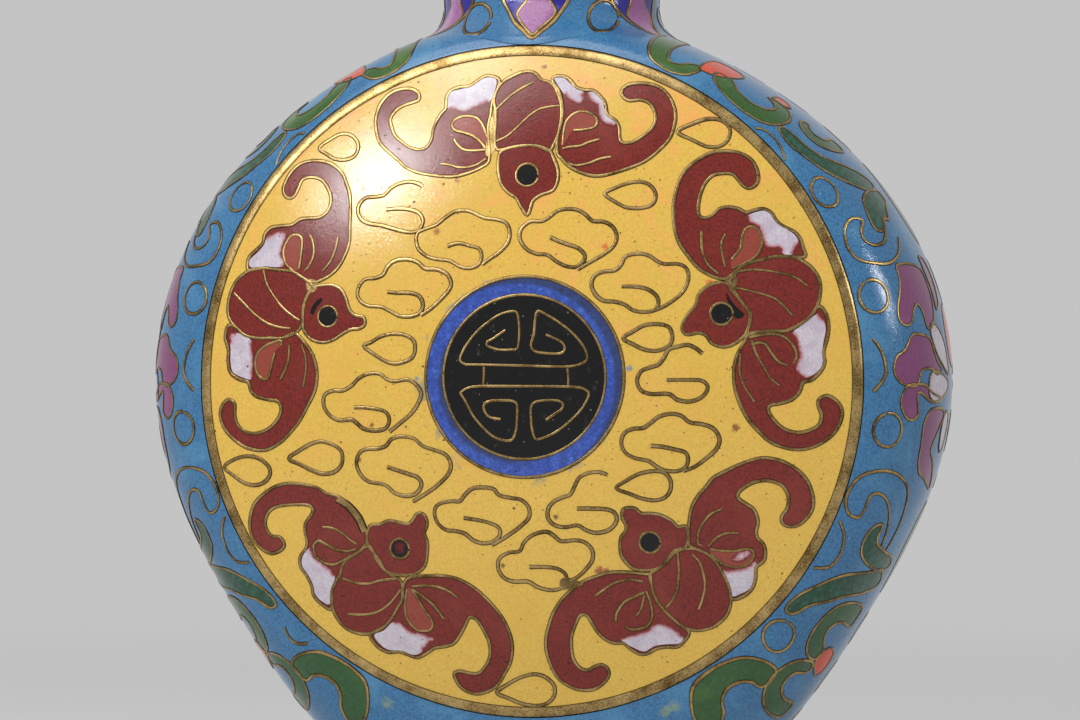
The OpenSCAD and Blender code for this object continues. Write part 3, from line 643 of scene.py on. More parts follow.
# %% Yellow
RUN_SHADE = srgb(84, 122, 132)
MARKS = (
    (srgb(96, 130, 150), ((12, 1.4, 0.35), (-11, 0.3, 0.3))),
    (srgb(196, 90, 40), ((9.3, 14.3, 0.35), (20.4, 10.5, 0.45))),
    (srgb(124, 36, 26), ((8.5, -20.2, 0.5), (9.3, -20.3, 0.45), (2, 33.9, 0.3), (-21.5, -13.8, 0.5))),
    (srgb(150, 80, 30), ((-9, 16.1, 0.4), (-17.7, 20.9, 0.4), (5, 24.8, 0.25), (-7, 21.6, 0.3))),
    (srgb(50, 32, 18), ((22.5, 11.5, 0.22), (4, -14.4, 0.28), (-1.9, -19.7, 0.25))),
    (srgb(110, 40, 22), ((-17.6, -8.5, 0.25), (-16.1, -4.7, 0.25), (23.1, -4.9, 0.42))),
)


def field_stains(look, colour):
    warm = look.noise(5.0, 5.0, 0.7, 1.2)
    upward = look.add("ShaderNodeSeparateXYZ", {}, {0: look.place})["Z"]
    high = upward.smooth(medallion_z - 25, medallion_z + 34)
    colour = look.mix(warm.smooth(0.46, 0.7) * (high * 0.6 + 0.05), colour, srgb(236, 158, 92))
    specks = look.dots(1.3, 0.11, 0.35) * (high * 0.6 + 0.15)
    colour = look.mix(specks, colour, srgb(196, 84, 34))
    ragged = look.radius() - look.noise(0.7, 4.0, 0.75) * 2.2
    run = 1.0 - ragged.smooth(ring_edge - 0.9, ring_edge - 0.1)
    patchy = look.noise(2.6, 2.0).smooth(0.5, 0.6)
    colour = look.mix(run * patchy * 0.55, colour, RUN_SHADE)
    for tint, places in MARKS:
        for x, z, radius in places:
            colour = look.mix(look.spot(x, z, radius * 0.9) * 0.8, colour, tint)
    return colour


LOOKS["yellow"] = enamel(
    "yellow_enamel", (218, 180, 78), (198, 154, 52), (212, 168, 66),
    grain_amount=0.6, pits=0.6, stains=field_stains,
)

# %% [markdown]
# The bats' red is the densest glass, and its small leaves are a little paler. The white of the wings
# melted at a lower heat and ran into the red: its edge goes pink and breaks into grains of both. The
# tone of each vertex is its distance from the border, so the look knows where the edge is.

# %% Brick red
BRICK, BRICK_DARK = (122, 32, 22), (78, 16, 10)


def leaf_tone(look, colour):
    return look.mix(look.tone() * 0.35, colour, srgb(176, 92, 72))


LOOKS["brick"] = enamel(
    "brick_enamel", BRICK, BRICK_DARK, (132, 52, 40),
    grain_amount=0.8, cloud_amount=0.5, pits=0.7, stains=leaf_tone, ior=1.48,
)


# %% White with a pink edge
def patch_border(look, colour):
    edge = look.tone() + (look.noise(0.6, 4.0, 0.7) - 0.5) * 0.8
    red = look.mix(look.noise(0.3) * 0.5, srgb(*BRICK), srgb(*BRICK_DARK))
    pink = look.mix(edge.smooth(0.1, 0.4), red, srgb(176, 122, 130))
    lilac = look.noise(1.6, 4.0, 0.7).smooth(0.4, 0.65) * 0.5
    colour = look.mix(lilac, colour, srgb(166, 148, 168))
    red_grains = look.dots(1.1, 0.1, 0.35) * 0.7
    return look.mix(red_grains, look.mix(edge.smooth(0.25, 0.7), pink, colour), red)


LOOKS["lavender"] = enamel(
    "white_enamel", (200, 192, 200), (164, 150, 170), (212, 206, 212),
    grain_amount=0.5, cloud_amount=0.4, pits=0.2, stains=patch_border,
)

# %% [markdown]
# The blues differ. The side's turquoise is clouded, with pale grains like frost under the polish.
# The roundel's ring broke up in the fire into pale and dark blots, and is darker along its edges.
# The black disc is smooth, so dust shows on it.


# %% Turquoise
def frost(look, colour):
    """Pale grains under the polish, and a little yellow that ran over the band."""
    pale = look.dots(0.6, 0.06, 0.3) * look.noise(5.0, 2.0).smooth(0.4, 0.65)
    colour = look.mix(pale * 0.6, colour, srgb(176, 206, 226))
    for x, z in ((15, -35.6), (15.9, -35), (-15.6, -35.2)):
        colour = look.mix(look.spot(x, z, 0.6, 0.8, -rim_y) * 0.6, colour, srgb(150, 160, 70))
    return colour


LOOKS["turquoise"] = enamel(
    "turquoise_enamel", (60, 116, 160), (34, 78, 116), (84, 142, 178),
    grain_amount=0.7, cloud_amount=0.7, pits=0.45, stains=frost, ior=1.5,
)

# %% Cobalt
RING_W = 1.9


def ring_blots_and_dark_edges(look, colour):
    blots = look.noise(0.9, 4.0, 0.75)
    colour = look.mix(blots.smooth(0.42, 0.62) * 0.5, colour, srgb(24, 40, 104))
    colour = look.mix((1.0 - blots).smooth(0.55, 0.7) * 0.5, colour, srgb(96, 134, 204))
    beyond = look.radius() - ring_edge
    away = beyond.at_least(0.0 - (look.radius() - ring_edge + RING_W))
    # The ring is darker along both its edges, beside the wires
    edge = (away + look.noise(0.5, 3.0, 0.7) * 0.6).smooth(0.05, 0.45)
    return look.mix(edge * 0.7, colour, srgb(34, 42, 60))


LOOKS["cobalt"] = enamel(
    "cobalt_enamel", (52, 86, 180), (28, 50, 132), (72, 112, 198),
    grain_amount=0.7, cloud_amount=0.6, pits=0.7, stains=ring_blots_and_dark_edges,
)


# %% Black
def disc_dust(look, colour):
    """Grey dust, and one red glint in a bat's eye."""
    dust = look.noise(1.3, 5.0, 0.75).smooth(0.58, 0.8)
    flecks = look.dots(0.8, 0.09, 0.25)
    colour = look.mix((dust * 0.2).at_least(flecks * 0.4), colour, srgb(150, 146, 138))
    return look.mix(look.spot(-13.2, -17.9, 0.55) * 0.8, colour, srgb(104, 22, 32))


LOOKS["black"] = enamel(
    "black_enamel", (13, 12, 13), (6, 6, 7), (20, 19, 20),
    grain_amount=0.5, cloud_amount=0.5, pits=0.0, stains=disc_dust, ior=1.38,
)


# %% Green: some leaves hold a dark sea green instead
def dark_leaf(look, colour):
    deep = look.mix(look.noise(0.6, 3.0).smooth(0.4, 0.7), srgb(26, 62, 48), srgb(44, 92, 76))
    return look.mix(look.tone(), colour, deep)


LOOKS["green"] = enamel(
    "green_enamel", (52, 90, 38), (28, 62, 28), (88, 118, 50),
    grain_amount=0.6, cloud_amount=0.7, pits=0.4, stains=dark_leaf, ior=1.46,
)

# %% Colours without marks of their own: base, grain and cloud, and how much of the last two
PLAIN = {
    "magenta": ((124, 60, 106), (94, 34, 80), (150, 90, 136), 0.5, 0.6),
    "orange": ((206, 58, 22), (150, 30, 16), (222, 88, 38), 0.5, 0.6),
    "deep_blue": ((22, 14, 138), (12, 6, 90), (44, 36, 166), 0.5, 0.6),
    "mauve": ((150, 88, 144), (110, 54, 106), (190, 150, 192), 0.6, 0.8),
}
for name, sizes in PLAIN.items():
    LOOKS[name] = enamel(f"{name}_enamel", *sizes)

# %% [markdown]
# ### Gilt
#
# The wires are copper with a thin layer of gold, put on after the polishing. It is bright on the top
# of a wire and worn brown in places. Low on the sides it is painted dark, partly oxide and partly
# painted shade. Metallic at 1 makes the reflection take the gold's colour. The tone from the wire's
# section says where that dark colour goes, and on the band it marks the shaded edges.


# %% Gilt
def gilt(name, bright, dull, oxide_and_shade, rough, grain):
    look = Look(name)
    bright, dull, oxide_and_shade = (srgb(*shade) for shade in (bright, dull, oxide_and_shade))
    fine = look.noise(0.14, 3.0, 0.7)
    worn = look.noise(2.4, 3.0, 0.6)
    colour = look.mix((worn * 0.45 + fine * 0.55).smooth(0.34, 0.66), dull, bright)
    # Dark on the wire's sides and the band's edges: oxide and painted shade
    colour = look.mix((look.tone() + (fine - 0.5) * 0.7).smooth(0.3, 0.9), colour, oxide_and_shade)
    roughness = rough + (fine - 0.5) * 0.25
    return look.finish(
        {"Base Color": colour, "Metallic": 1.0, "Roughness": roughness},
        [(fine, grain), (worn, grain)],
    )


# Dark colour of the wires' sides and the band's edges: oxide and painted shade
OXIDE_AND_SHADE = (46, 32, 14)
LOOKS["gilt"] = gilt("gilt_wire", (198, 168, 112), (80, 60, 28), OXIDE_AND_SHADE, rough=0.32, grain=0.011)
LOOKS["rim"] = gilt("gilt_rim", (206, 174, 116), (164, 134, 82), OXIDE_AND_SHADE, rough=0.3, grain=0.008)
LOOKS["band"] = gilt("gilt_band", (208, 178, 120), (96, 72, 34), OXIDE_AND_SHADE, rough=0.3, grain=0.013)
LOOKS["copper"] = gilt("raw_copper", (176, 104, 68), (120, 70, 48), (70, 40, 28), rough=0.42, grain=0.02)

# %% [markdown]
# ## The medallion's drawing
#
# Five bats, a sign of five blessings, fly round a fret roundel with small clouds between them. The
# wires were bent by hand, so no bat and no cloud is like another, and one bat copied five times
# would look like print. So each is drawn out. Points go across and up from the medallion's centre,
# and a smooth curve runs through them, so an outline has a point only where it turns.
#
# Each bat has an eye, outlines of its head, body and two wings, white patches on the wings, and
# inside them leaves and single veins of wire.

# %% The bat at the top
TOP_BAT = outlines("""
eye 0.7 22.1
head -2.3 24.6 -2.5 23.5 -2.4 22.2 -2 21 -1.3 20.2 -.4 19.6 0 18.9 .6 18 .9 17.8 1.2 18.6 1.4 19.3
  2.2 19.9 3.5 20.4 4 21.4 4 22.6 3.5 23.9 3 24.7 1.8 25.2 .4 25.3 -1.1 25.1
body -2.7 24.9 -3 26.5 -3 28 -3.1 29.3 -3.3 30.3 -3 31.5 -2.3 32.4 -1.4 32.9 -.5 33.3 .4 33.4
  1.2 33.1 1.7 32.5 2.6 32.2 3.3 31.6 3.8 30.5 4.1 29.4 4.1 28 3.9 26.6 3.5 25.5 3 24.7 1.8 25.2
  .4 25.3 -1.1 25.1
wing 4.3 23.9 5.2 23 6.3 22.4 7.6 22 8.8 22 10.1 22.3 11.9 22.9 13.4 23.6 14.8 24.8 15.8 26
  16.2 27.3 16.3 28.6 15.9 30 15.1 31.1 13.9 31.8 12.3 32 11.1 31.8 10.5 31.2 10.7 30.5 11.4 30.1
  12.5 30.2 13.5 29.8 14.1 28.9 14.2 27.9 13.8 27 12.9 26.2 11.9 25.6 10.9 25.5 10.5 26 10.4 27.1
  10 27.9 9.1 28.6 8.8 29.8 8.3 30.5 7.5 31.2 6.5 31.3 5.6 31.6 5 32.3 4.2 32.8 3.2 32.8 3 32.3
  3.8 31.1 4.2 29.3 4.1 27.5 3.8 26 3.9 24.4
wing -3.6 23.5 -4.5 22.9 -5.4 22.5 -6.8 22.1 -8.1 22 -9.9 22.2 -11.4 22.5 -12.8 23.1 -13.6 23.8
  -15.6 25.5 -16.2 26.6 -16.5 28 -16.4 29.1 -16 30.2 -15.1 31.2 -13.9 31.7 -12.6 31.7 -11.8 31.2
  -11.7 30.5 -12.4 30.2 -13.4 29.9 -14.3 29.3 -14.8 28.4 -14.6 27.5 -14.2 26.6 -13.4 25.9 -12.5 25.3
  -11.4 25 -10.5 25.3 -10 26.2 -9.9 27.1 -9.6 28 -9.1 28.9 -8.6 29.5 -8.6 30.6 -8.2 31.4 -7.2 31.8
  -6.1 31.9 -5.2 32.5 -4.3 33 -3.2 32.8 -2.8 32.4 -3 31.5 -3.5 30 -3.6 28.6 -3.8 27.3 -3.6 25.5
  -3.5 24.4
patch 3.1 32.7 4.1 32.7 5.2 31.8 6.3 31.2 6.5 30.7 6.5 30 6.1 29.7 5 30.1 4.2 31 3.5 32
patch 6.9 31 7.9 31 8.5 30.2 8.8 29.1 9.8 28.2 10 27.6 9.4 27.3 8.5 27.8 8.1 28.4 7.9 29.5 7 30.2
patch -8.6 29.6 -8.6 30.7 -8.1 31.3 -6.1 31.8 -5.2 32.4 -4.3 32.8 -3.2 32.6 -3.3 31.2 -3.7 30.2
  -5.2 29.5 -6.5 29
leaf 4.4 25.3 4.5 27.1 4.9 28.2 5.9 28.9 7.1 28.8 8 28.1 7.8 27.3 6.8 27 5.5 26.9
leaf 8.3 25.9 7.2 25.6 6.3 25.2 5.2 25.1 4.4 24.9
leaf -3.9 26.3 -4.3 27.4 -5 28.3 -6.1 28.6 -7.2 28.4 -7.8 27.8 -7.5 27.1 -6.5 26.8 -5.4 26.4
  -4.6 25.8 -4 25.1
leaf -4 24.9 -5 24.8 -6.3 24.9 -7.1 25.5 -7.5 26.1
vein -3 29.3 -2.2 30.1 -1.2 31 -.1 31.7 .9 32.2
vein -2.8 25.8 -1.6 26.4 -.5 27.4 .5 28.4 1.6 29.2 2.8 29.5 3.9 29.6
vein 9.6 24 8.5 23.8 7.2 23.3 5.9 23.1 4.9 23.4
vein -8.9 23.4 -7.9 23.3 -6.9 23 -5.8 23 -4.8 23.3 -3.9 23.9
""")

# %% The bat at the right
RIGHT_BAT = outlines("""
eye 21.6 7.2
head 22.2 10.4 21.2 10.5 20.1 10.1 19.2 9.2 18.9 8.1 18 7 17.5 5.7 18 5 19.2 5.2 20 4.9 20.6 4.1
  21.7 3.7 22.7 3.9 23.6 4.5 24.2 5.2 24.6 7 23.5 8.7 22.6 9.7
body 22.9 11.3 24 12.4 25.5 12.9 27.2 13.3 28.7 13.3 30 12.8 31 12 31.7 10.8 31.8 9.5 31.5 8
  30.7 6.8 29.6 6 28.3 5.4 27 5.4 25.5 5.3 24.4 5.1 24.5 6.3 24.6 7.3 24 8 23.2 9.2 22.6 10.4
wing 22.3 11 21.2 11 20 11.5 19 12.2 18 13.4 17.1 14.7 16.6 16.2 16.4 18 16.5 19.7 17 21.5 17.7 22.7
  18.9 23.7 20.2 24.4 21.7 24.6 23.2 24.4 24.4 23.7 25 22.7 25.2 21.6 24.9 20.9 24.2 20.6 23.6 20.9
  23.1 21.5 22.5 22.1 21.6 22.2 20.5 22 19.7 21.2 19.2 20 19 18.7 19.1 17.7 19.7 17.4 20.5 17.7
  21.2 18.4 22.2 18.6 23.2 18.4 24 18 24.7 18.2 25.7 18.4 26.6 18 27.2 17.1 28 16.5 29 16 29.7 15.2
  30 14.2 30.2 13.3 28.7 13.3 27.2 13.3 25.5 12.9 24 12.4 22.9 11.6
wing 24 4.2 23.4 3.2 23 2 22.9 .5 23.1 -1 23.6 -2.5 24.4 -4 25.4 -5.2 26.7 -6.4 28.2 -7 29.7 -7.2
  31.2 -6.9 32.6 -6.1 33.6 -5 34.1 -3.6 33.9 -2.5 33.1 -1.7 32.4 -1.5 31.7 -1.9 31.7 -2.7 32 -3.6
  31.7 -4.6 30.7 -5.2 29.4 -5.4 28.1 -5 27.1 -4.1 26.5 -3.1 26.7 -2.5 27.7 -2.3 28.9 -1.9 29.7 -1.1
  30.1 -.1 31 .2 31.9 1.1 32.3 2 32.2 3.2 32.6 4.7 32.7 6 32.4 7.2 31.7 8 30.7 6.8 29.6 6 28.3 5.4
  27 5.4 25.5 5.3 24.4 5
patch 24.2 17.7 25.7 18.2 26.5 17.9 27.1 17.1 28 16.4 29 15.7 29.5 14.9 29.2 14 28.7 13.4 27.9 13.6
  27.6 14.1 26.2 14.2 25.6 15.2 25.4 16.2 24.7 16.7 24.2 17.1
patch 29 5.2 30 6 31.5 7.2 31.9 7 32.4 5.7 32.1 3.7 32.1 2 31.5 1 30.2 .4 29.4 1 29.2 1.7 29.6 2.7
  29.4 4
leaf 22.6 13 23.5 14.2 23.7 15.6 24.2 16.4 25 16.4 25.6 15.5 25.7 14.5 25.2 13.4 24 12.6 22.7 12
leaf 24.7 4 26 4.1 26.7 3.2 27.5 2.2 28.5 1.7
leaf 24.5 4.7 26 5 27.5 5 28.6 4.4 29.2 3.5 29.4 2.6 29.1 1.9
vein 23.2 11.7 25.2 11.9 27.5 11.6 29.2 11.1 30.5 10.2
vein 23 10 25.2 9.5 27 8.9 28 8.1 29 7
vein 21.9 12.2 21.6 13.5 21.5 14.7 21.9 15.7
vein 19.4 16 19.5 14 20.1 12.5 21.2 11.5
vein 24.7 4.4 25.2 3 25.9 1.7 26.6 .5 27.6 -.4
vein 23.6 3 23.5 1 24 -.5 25 -2.1
""")

# %% The bat at the lower right
LOWER_RIGHT_BAT = outlines("""
eye 13.95 -17.1
head 16.9 -15.4 16.3 -14.8 15.2 -14.2 14.1 -14 13.1 -14 12.5 -13.5 11.9 -13.4 11.2 -13.6 11.1 -14.5
  11.5 -15.3 11.4 -15.9 10.9 -16.6 10.8 -17.6 10.9 -18.5 11.4 -19.3 12.1 -19.9 13.2 -20.1 14.3 -20
  15.2 -19.6 15.9 -18.9 16.5 -18.2 17.6 -17.7 18 -16.6 17.8 -15.4
body 17.9 -17.8 18.8 -17.8 19.9 -18.3 20.8 -19.2 21.6 -20.5 22.2 -22.1 22.3 -23.4 21.9 -24.8
  21 -25.8 19.9 -26.4 18.5 -26.6 17.2 -26.2 16.1 -25.3 15 -24.1 14.3 -22.9 14 -21.6 13.9 -20.5
  15.2 -19.6 16.2 -18.3 17 -17.8
wing 18.1 -17.4 18 -16.3 18.1 -15 18.4 -13.4 19.1 -12.1 19.9 -11.2 20.7 -10.2 22 -9.5 23.2 -8.9
  24.5 -8.4 25.7 -8.1 27 -8.2 28.2 -8.6 29.6 -9.5 30.5 -10.6 31 -12.1 31 -13.4 30.4 -14.5 29.4 -15.3
  28.4 -15.4 27.8 -15 27.8 -14.3 28.3 -13.6 28.5 -12.8 28.4 -11.9 27.8 -11 26.5 -10.5 25.2 -10.6
  24.1 -11.1 23.3 -11.8 23.3 -12.4 24.1 -13 24.9 -13.6 25.3 -14.8 25.1 -15.9 25.2 -16.6 25.8 -17.3
  26 -18.2 25.8 -19.1 25 -19.8 24.9 -21 24.5 -22.1 23.6 -22.9 22.4 -23.2 22.2 -22.1 21.6 -20.5
  20.8 -19.2 19.9 -18.3 18.8 -17.8
wing 13.4 -20.5 12.5 -20.4 11 -20.3 9.4 -20.4 8.1 -20.8 6.8 -21.3 5.4 -22.3 4.3 -23.4 3.4 -24.8
  2.9 -26.1 2.5 -27.6 2.5 -29 2.9 -30.5 3.6 -31.9 4.8 -32.8 6.1 -33.2 7.4 -33.1 8.5 -32.4 9.1 -31.5
  9 -30.8 8.4 -30.4 7.6 -30.6 6.9 -31 6.1 -30.8 5.4 -29.9 5.2 -28.5 5.3 -27.2 5.8 -25.9 6.3 -25
  7 -25 7.5 -25.8 8.1 -26.8 8.9 -27.6 9.9 -28 10.8 -28 11.5 -28.6 12.5 -29.2 13.4 -29.1 14.3 -28.6
  15.4 -28.4 16.5 -28.4 17.4 -27.6 17.8 -26.8 17.2 -26.2 16.1 -25.3 15 -24.1 14.3 -22.9 14 -21.6
  13.9 -20.6
patch 21.6 -20.1 22.9 -19.9 24.1 -19.6 24.8 -19 25.1 -19.3 24.8 -19.9 24.8 -21 24.4 -22 23.4 -22.6
  22.4 -22.9 22.1 -21.9 21.8 -20.8
patch 22.3 -19 23.2 -18.1 24.3 -17.8 24.7 -18.2 24.1 -18.9 23.2 -19.3
patch 10.5 -27.4 12.2 -26.9 13.4 -26.5 14.1 -25.8 15.2 -25.8 16.3 -26.4 17.2 -27.2 16.8 -28
  15.4 -28.1 14.1 -28.3 13 -28.9 11.9 -28.5 11 -28
leaf 20.3 -18.3 21.1 -19.1 22.1 -19.6 23.2 -19.8 24.3 -19.3 24.8 -18.5 24.6 -17.9 23.9 -17.8 23 -18
  21.6 -18 20.3 -17.8
leaf 13.4 -22.3 13.8 -23.4 14 -24.8 13.6 -25.9 12.8 -26.4 11.6 -26.5 11.1 -26.1
leaf 13.2 -22.5 12.1 -23 11 -23.6 10.2 -24.8 10.1 -25.6
vein 16.8 -18 16.9 -19.2 16.9 -20.5 16.7 -22.1 16.2 -23.2 15.5 -24.1
vein 18.4 -18.4 19.1 -19.2 19.5 -20.5 19.6 -21.9 19.3 -23.2 18.9 -24.3
vein 20.1 -17.5 21 -16.6 22.1 -16.1 23.2 -16.1
vein 19.4 -17.4 19 -17.2 19.1 -15.9 19.6 -15 20.4 -14.1 21.6 -13.5
vein 13.2 -22.8 12.8 -24.3 12.3 -25
vein 13.1 -21.3 11.6 -21.1 10.1 -21.5 8.8 -22.3 8 -22.9
""")

# %% The bat at the lower left
LOWER_LEFT_BAT = outlines("""
eye -13.25 -18
head -15.4 -15.4 -14.4 -15 -13.1 -15.2 -12.2 -15.3 -11.6 -14.8 -11.2 -14.2 -10.5 -14.2 -10.1 -14.8
  -10.1 -15.5 -10.4 -16.3 -10.1 -17.3 -10.2 -18.6 -10.5 -19.8 -11.4 -20.6 -12.6 -20.9 -14 -20.8
  -15 -20.4 -15.5 -19.5 -16.1 -18.6 -16.8 -17.7 -16.9 -16.4 -16.4 -15.5
body -16.6 -17.8 -17.8 -18.3 -18.9 -19 -19.8 -19.8 -20.2 -20.9 -20.9 -22 -21.3 -23.1 -21.3 -24.4
  -20.9 -25.6 -19.9 -26.8 -18.4 -27.4 -16.9 -27.3 -15.5 -26.6 -14.5 -25.6 -13.8 -24.5 -13.2 -23.5
  -13.1 -22.4 -13.3 -21.5 -14.2 -21 -15.1 -20.3 -16 -19.1
wing -16.9 -17.1 -17.3 -15.5 -18 -14.3 -19.1 -13.1 -20.2 -12.4 -21.5 -12.1 -22.6 -11.5 -24.2 -11.2
  -25.8 -11.1 -27.3 -11.4 -28.6 -12.1 -29.9 -13.2 -30.5 -14.5 -30.7 -16 -30.3 -17.3 -29.4 -18.3
  -28.3 -18.8 -27.2 -18.5 -26.6 -17.8 -27.1 -17 -28 -16.9 -28.6 -16.3 -28.8 -15.3 -28.3 -14.2
  -27.2 -13.6 -25.5 -13.4 -23.8 -13.4 -23.1 -13.8 -23.3 -14.5 -24 -15.4 -24.1 -16.4 -23.9 -17.3
  -24.1 -18.2 -24.8 -19.1 -24.8 -20.2 -24.1 -21.2 -23.6 -22.3 -23.4 -23.4 -22.6 -24.2 -21.6 -24.8
  -21.3 -24 -21.3 -23.1 -20.9 -22 -20.2 -20.9 -19.8 -19.8 -18.9 -19 -17.8 -18.3
wing -12.6 -21.3 -11.5 -21 -10 -20.9 -8.4 -20.9 -6.9 -21.2 -5.3 -22 -4 -23.1 -2.9 -24.3 -2 -25.6
  -1.4 -27.1 -1.2 -28.6 -1.5 -30.2 -2.2 -31.5 -3.1 -32.8 -4.2 -33.5 -5.5 -33.8 -6.9 -33.3 -7.6 -32.4
  -7.8 -31.6 -7.2 -31.3 -6.2 -31.5 -5.1 -31.5 -4.2 -30.6 -3.7 -29.5 -3.7 -28.2 -4.2 -26.9 -5 -25.6
  -5.8 -25.4 -6.3 -26.3 -6.9 -27.3 -7.6 -28.2 -8.6 -28.6 -9.8 -28.8 -10.6 -29.3 -11.8 -29.9
  -12.9 -29.6 -13.9 -29.3 -15.1 -29.4 -16.2 -28.9 -16.9 -28.1 -17.1 -27.5 -16.9 -27.3 -15.5 -26.6
  -14.5 -25.6 -13.8 -24.5 -13.2 -23.5 -13.1 -22.4
patch -23.4 -18.1 -23.1 -18.9 -22 -19.8 -21.2 -20.4 -20.8 -21.3 -21.3 -22.6 -21.5 -24.2 -22.4 -24
  -23.2 -23.2 -23.4 -22.2 -23.9 -21.1 -24.6 -20.1 -24.5 -19.1 -23.9 -18.3
patch -16.6 -27.5 -15.5 -27 -14.5 -26.1 -13.8 -25.9 -13.1 -26.3 -12.2 -27 -10.9 -27.2 -9.5 -27.8
  -10.4 -28.4 -11.5 -29.4 -12.4 -29.6 -13.5 -29.2 -15.1 -29.1 -16.1 -28.4
leaf -23.2 -17.8 -22.6 -17.3 -21.8 -17.6 -20.6 -18.2 -19.5 -18.4 -18.2 -18.1
leaf -23.2 -17.8 -23 -18.9 -22.2 -19.6 -21.1 -19.9 -20 -19.5 -18.9 -18.9 -17.5 -18.2
leaf -12.6 -22.4 -12.9 -23.8 -12.9 -25.1 -12.4 -26.2 -11.5 -26.9 -10.4 -26.9 -9.9 -26.3 -10.1 -25.5
  -10.9 -24.4 -11.5 -23.3 -12.1 -22.4
leaf -12 -22.4 -10.9 -23.1 -9.8 -24 -9.1 -24.9 -8.6 -25.6
vein -19.9 -21.4 -18.6 -21.8 -17.1 -21.9 -15.5 -21.5 -13.8 -21.3
vein -19.5 -25.3 -17.8 -25.3 -16.2 -25 -14.9 -24.2 -14 -23.3 -13.3 -22.4
vein -22 -15.8 -20.9 -15.9 -19.8 -16.4 -18.9 -17.1 -18.1 -17.6
vein -12 -22.1 -10.6 -22 -9.1 -22.1 -7.8 -22.6 -7 -23.2
""")

# %% The bat at the left
LEFT_BAT = outlines("""
eye -21.2 7
head -22.7 10.2 -21.7 10.4 -20.7 10.4 -19.7 9.9 -19.1 8.9 -18.7 7.7 -18 7.1 -17.1 6.9 -16.9 6.2
  -17.5 5.7 -18.5 5.6 -19.5 5.1 -20.5 4.5 -21.7 4.2 -23 4.5 -23.9 5.4 -24.1 6.5 -24 8 -23.5 9.4
body -23 10.2 -24.2 11.2 -25.5 11.9 -27.2 12.1 -29 12.3 -30.5 12.1 -31.9 11.2 -32.7 10 -33.1 8.5
  -33 7 -32.2 5.9 -31 5 -29.5 4.7 -28 4.7 -26.5 4.7 -25 5.2 -24.2 6.2 -24.1 8 -23.6 9.4
wing -23 10.7 -21.5 11.2 -20.2 12.2 -19.4 13.5 -18.9 15 -18.9 16.7 -18.9 18.5 -19 20 -19.4 21.2
  -20 22.5 -21 23.4 -22.2 23.9 -23.7 24 -25 23.7 -26 22.9 -26.7 21.7 -26.9 20.7 -26.4 20 -25.6 20.1
  -25.1 21 -24.7 21.9 -23.7 22.2 -22.5 21.9 -21.6 20.9 -21.2 19.7 -21.5 18.5 -22.4 17.8 -23.5 17.7
  -24.7 17.6 -25.7 17 -27 16.9 -28.2 16.7 -28.9 16 -29.1 15 -30 14.2 -30.7 13.5 -30.9 12.4
  -30.5 12.1 -29 12.3 -27.2 12.1 -25.5 11.9 -24.2 11.2
wing -23.7 4 -23 3 -22.5 1.7 -22.4 .2 -22.7 -1.2 -23.5 -2.7 -24.4 -4.2 -25.5 -5.5 -26.7 -6.6
  -28.2 -7.4 -29.7 -7.5 -31.2 -7.1 -32.7 -6.1 -33.6 -5 -34 -3.7 -33.7 -2.6 -32.9 -2 -32.2 -2.5
  -32.2 -3.7 -31.9 -4.7 -31 -5.5 -29.7 -5.7 -28.2 -5.2 -27.1 -4.2 -26.6 -3.1 -27 -2.2 -28.2 -2
  -29.5 -1.7 -30.2 -1.1 -30.6 -.1 -31.7 .2 -32.7 .9 -33 2 -33 3.5 -33.4 4.7 -33.1 6 -32.2 5.9 -31 5
  -29.5 4.7 -28 4.7 -26.5 4.7 -25 5.2
patch -27.4 16.4 -26.2 16.1 -26.4 15 -26.7 14 -26.2 12.7 -27.2 12.4 -28.7 12.5 -30.4 12.4 -30.6 13.2
  -29.7 14 -28.9 14.9 -28.6 15.7
patch -32.9 5.2 -31.7 5.2 -30.5 4.7 -30 4 -29.9 2.7 -29.9 1.2 -30.1 .2 -31.2 .4 -32.4 1 -32.7 2.2
  -32.7 3.7
leaf -24.7 12.2 -24.5 13.5 -24.4 15 -24.6 15.7 -25.5 15.9 -26.2 15.2 -26.6 14 -26.2 12.7 -25.4 12
leaf -26.6 3.9 -26.7 4.4 -28.2 4 -29.4 3.1 -29.7 1.9 -29.4 .7 -28.6 .2 -28 .7 -27.7 2 -27.4 3.1
vein -28.9 12.1 -28.5 10.7 -27.7 9.4 -26.5 8 -25.2 7 -24.5 6.6
vein -32.4 9.6 -31.2 8.5 -30 7.4 -28.5 6.4 -27 5.9 -25.5 5.7
vein -23.5 15.9 -23.1 15 -23 13.7 -23.5 12.5 -24 12
vein -20.2 15.6 -20.5 14.2 -21 13 -21.9 11.9
vein -25.7 4 -25.7 2.7 -26 1.5 -26.7 .2
vein -24.2 4 -23.7 2.5 -23.7 1 -24 -.6
""")
BATS = (TOP_BAT, RIGHT_BAT, LOWER_RIGHT_BAT, LOWER_LEFT_BAT, LEFT_BAT)
EYE_R = (1.2, 1.15, 1.1, 1.05, 1.1)
print("bats:", len(BATS), "with", sum(len(bat["vein"]) for bat in BATS), "veins")

# %% [markdown]
# A cloud is one wire, from its inner tail round to the joint. A drop is a small closed ring. They
# hold the yellow glass in place between the bats: a wide empty field would crack in the fire.

